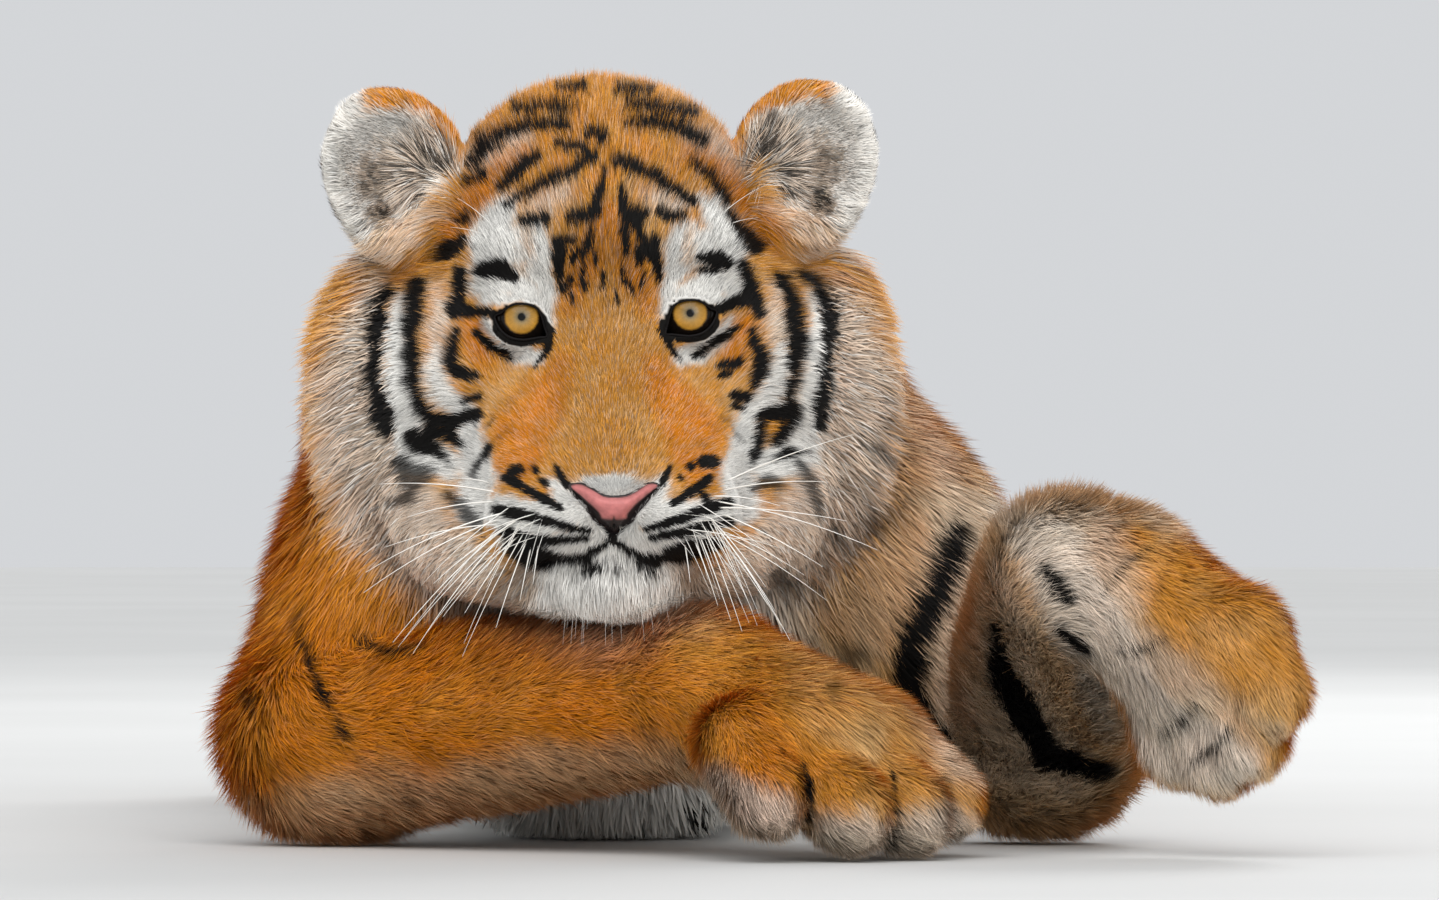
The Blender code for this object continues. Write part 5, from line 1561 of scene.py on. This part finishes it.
def leather_group():
    """Pebbled bare skin: a colour from light to dark, and its bumps."""
    tree, given, result = new_group(
        "Pebbled leather",
        [("Color", "Color"), ("Dark Color", "Color"), ("Dark", "Float"), ("Scale", "Float")],
        [("Color", "Color"), ("Height", "Float")],
    )
    place = own_place(tree)
    pebble = node(tree, "TexVoronoi", {"Vector": place, "Scale": given.outputs["Scale"]}, feature="SMOOTH_F1")
    base = mixed(tree, given.outputs["Dark"], given.outputs["Color"], given.outputs["Dark Color"])
    mottle = mapped(tree, noise(tree, place, 260.0, 3.0), 0.3, 0.7, 0.82, 1.14)
    tree.links.new(scaled(tree, base, mottle), result.inputs["Color"])
    tree.links.new(pebble.outputs["Distance"], result.inputs["Height"])
    return tree


def leather_material(name, group, colour, dark, masked, roughness, specular):
    """Bare skin. masked takes the dark colour where the piece is marked as dark."""
    material, tree, shader = new_material(name)
    leather = node(tree, "Group", {"Color": colour, "Dark Color": dark, "Scale": 900.0}, node_tree=group)
    if masked:
        pad = node(tree, "Attribute", attribute_name="pad").outputs["Vector"]
        tree.links.new(node(tree, "SeparateXYZ", {0: pad}).outputs[0], leather.inputs["Dark"])
    tree.links.new(leather.outputs["Color"], shader.inputs["Base Color"])
    bump = node(tree, "Bump", {"Height": leather.outputs["Height"], "Strength": 0.25, "Distance": 0.0006})
    tree.links.new(bump.outputs[0], shader.inputs["Normal"])
    finish(shader, {"Roughness": roughness, "Coat Weight": specular / 5, "Coat Roughness": 0.25,
                    "Specular IOR Level": specular})
    return material


def speckled_material(name, scale, detail, dark, light, roughness):
    """A plain finish that wavers between two colours."""
    material, tree, shader = new_material(name)
    tint = ramp(tree, noise(tree, own_place(tree), scale, detail), (0.3, dark), (0.7, light))
    tree.links.new(tint, shader.inputs["Base Color"])
    finish(shader, {"Roughness": roughness})
    return material


# ---- Floor, light and camera ----------------------------------------------------------------------


def add_floor():
    mesh = bpy.data.meshes.new("floor")
    reworked(mesh, lambda bm: bmesh.ops.create_grid(bm, x_segments=8, y_segments=8, size=14))
    grey = speckled_material("pale_floor", 1.4, 4.0, (0.56, 0.56, 0.55), (0.60, 0.60, 0.59), 0.7)
    mesh.materials.append(grey)
    floor = placed("floor", mesh)


def add_light(name, place, aim, size, power):
    """A round lamp at a place, turned towards its aim."""
    lamp = bpy.data.lights.new(name, "AREA")
    lamp.shape, lamp.size, lamp.energy = "DISK", size, power
    light = placed(name, lamp)
    light.location = place
    x, y, z = np.array(aim, float) - np.array(place, float)
    light.rotation_euler = (math.atan2(math.hypot(x, y), -z), 0, math.atan2(-x, y))


def add_lights():
    sun = bpy.data.lights.new("softbox_high", "SUN")
    sun.energy, sun.angle = 2.0, 1.0
    placed("softbox_high", sun).rotation_euler = (math.radians(46), 0, math.radians(-10))
    add_light("softbox_front", (1.6, -4.6, 1.2), (0, -0.5, 0.25), 2.2, 44)
    add_light("softbox_behind", (1.4, 2.8, 2.6), (0, 0.2, 0.2), 2.0, 62)
    world = bpy.data.worlds.new("studio")
    world.use_nodes = True
    finish(world.node_tree.nodes["Background"], {"Color": (0.95, 0.97, 1.0, 1), "Strength": 0.69})
    bpy.context.scene.world = world
    bpy.context.scene.view_settings.view_transform = "Standard"


def add_camera():
    """Low and straight ahead of the face, far back, with the face left of the middle."""
    data = bpy.data.cameras.new("camera")
    camera = placed("camera", data)
    data.sensor_width = 36
    data.lens = LENS
    data.shift_x = FACE_OFFSET
    data.clip_end = 100
    eyes = (HEAD_AT + SHIFT) * CM
    height = (HEAD_AT[2] - VIEW_DROP) * CM
    camera.location = (eyes[0], eyes[1] - VIEW_DISTANCE * CM, height)
    camera.rotation_euler = (math.pi / 2, 0, 0)
    bpy.context.scene.camera = camera


# ---- The whole tiger ------------------------------------------------------------------------------

SHIFT = frame_shift()
add_trunk()
add_neck()
add_head()
add_limbs()
add_tail()

coat_group = striped_coat_group()
# Both coat materials darken towards the hair roots, as painted shade within the coat.
under_coat = coat_material("under_coat", coat_group, 0.6, 0.85, 0.35)
tiger_hair = coat_material("tiger_hair", coat_group, 0.52, 0.6, 0)
leather = leather_group()
lid_black, nose_pink, nose_dark = (0.007, 0.006, 0.006, 1), (0.52, 0.17, 0.16, 1), (0.018, 0.012, 0.012, 1)
black_lid = leather_material("black_lid", leather, lid_black, lid_black, False, 0.6, 0.08)
nose_leather = leather_material("nose_leather", leather, nose_pink, nose_dark, True, 0.5, 0.3)
amber_eye = eye_material()
whisker_white = speckled_material("whisker", 60.0, 2.0, (0.82, 0.79, 0.72), (0.95, 0.93, 0.88), 0.35)

skin, skin_facts = make_skin(under_coat)
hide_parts(*[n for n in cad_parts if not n.startswith("eye_") and n != "nose"])
grow_coat(skin_facts, tiger_hair)
nose = make_nose(nose_leather)
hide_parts("nose")
for eye_name, eye_side in SIDES.items():
    make_eye(eye_name, eye_side, amber_eye)
    make_lids(eye_name, eye_side, black_lid)
make_whiskers(whisker_white)
add_floor()
add_lights()
add_camera()

bpy.context.view_layer.update()
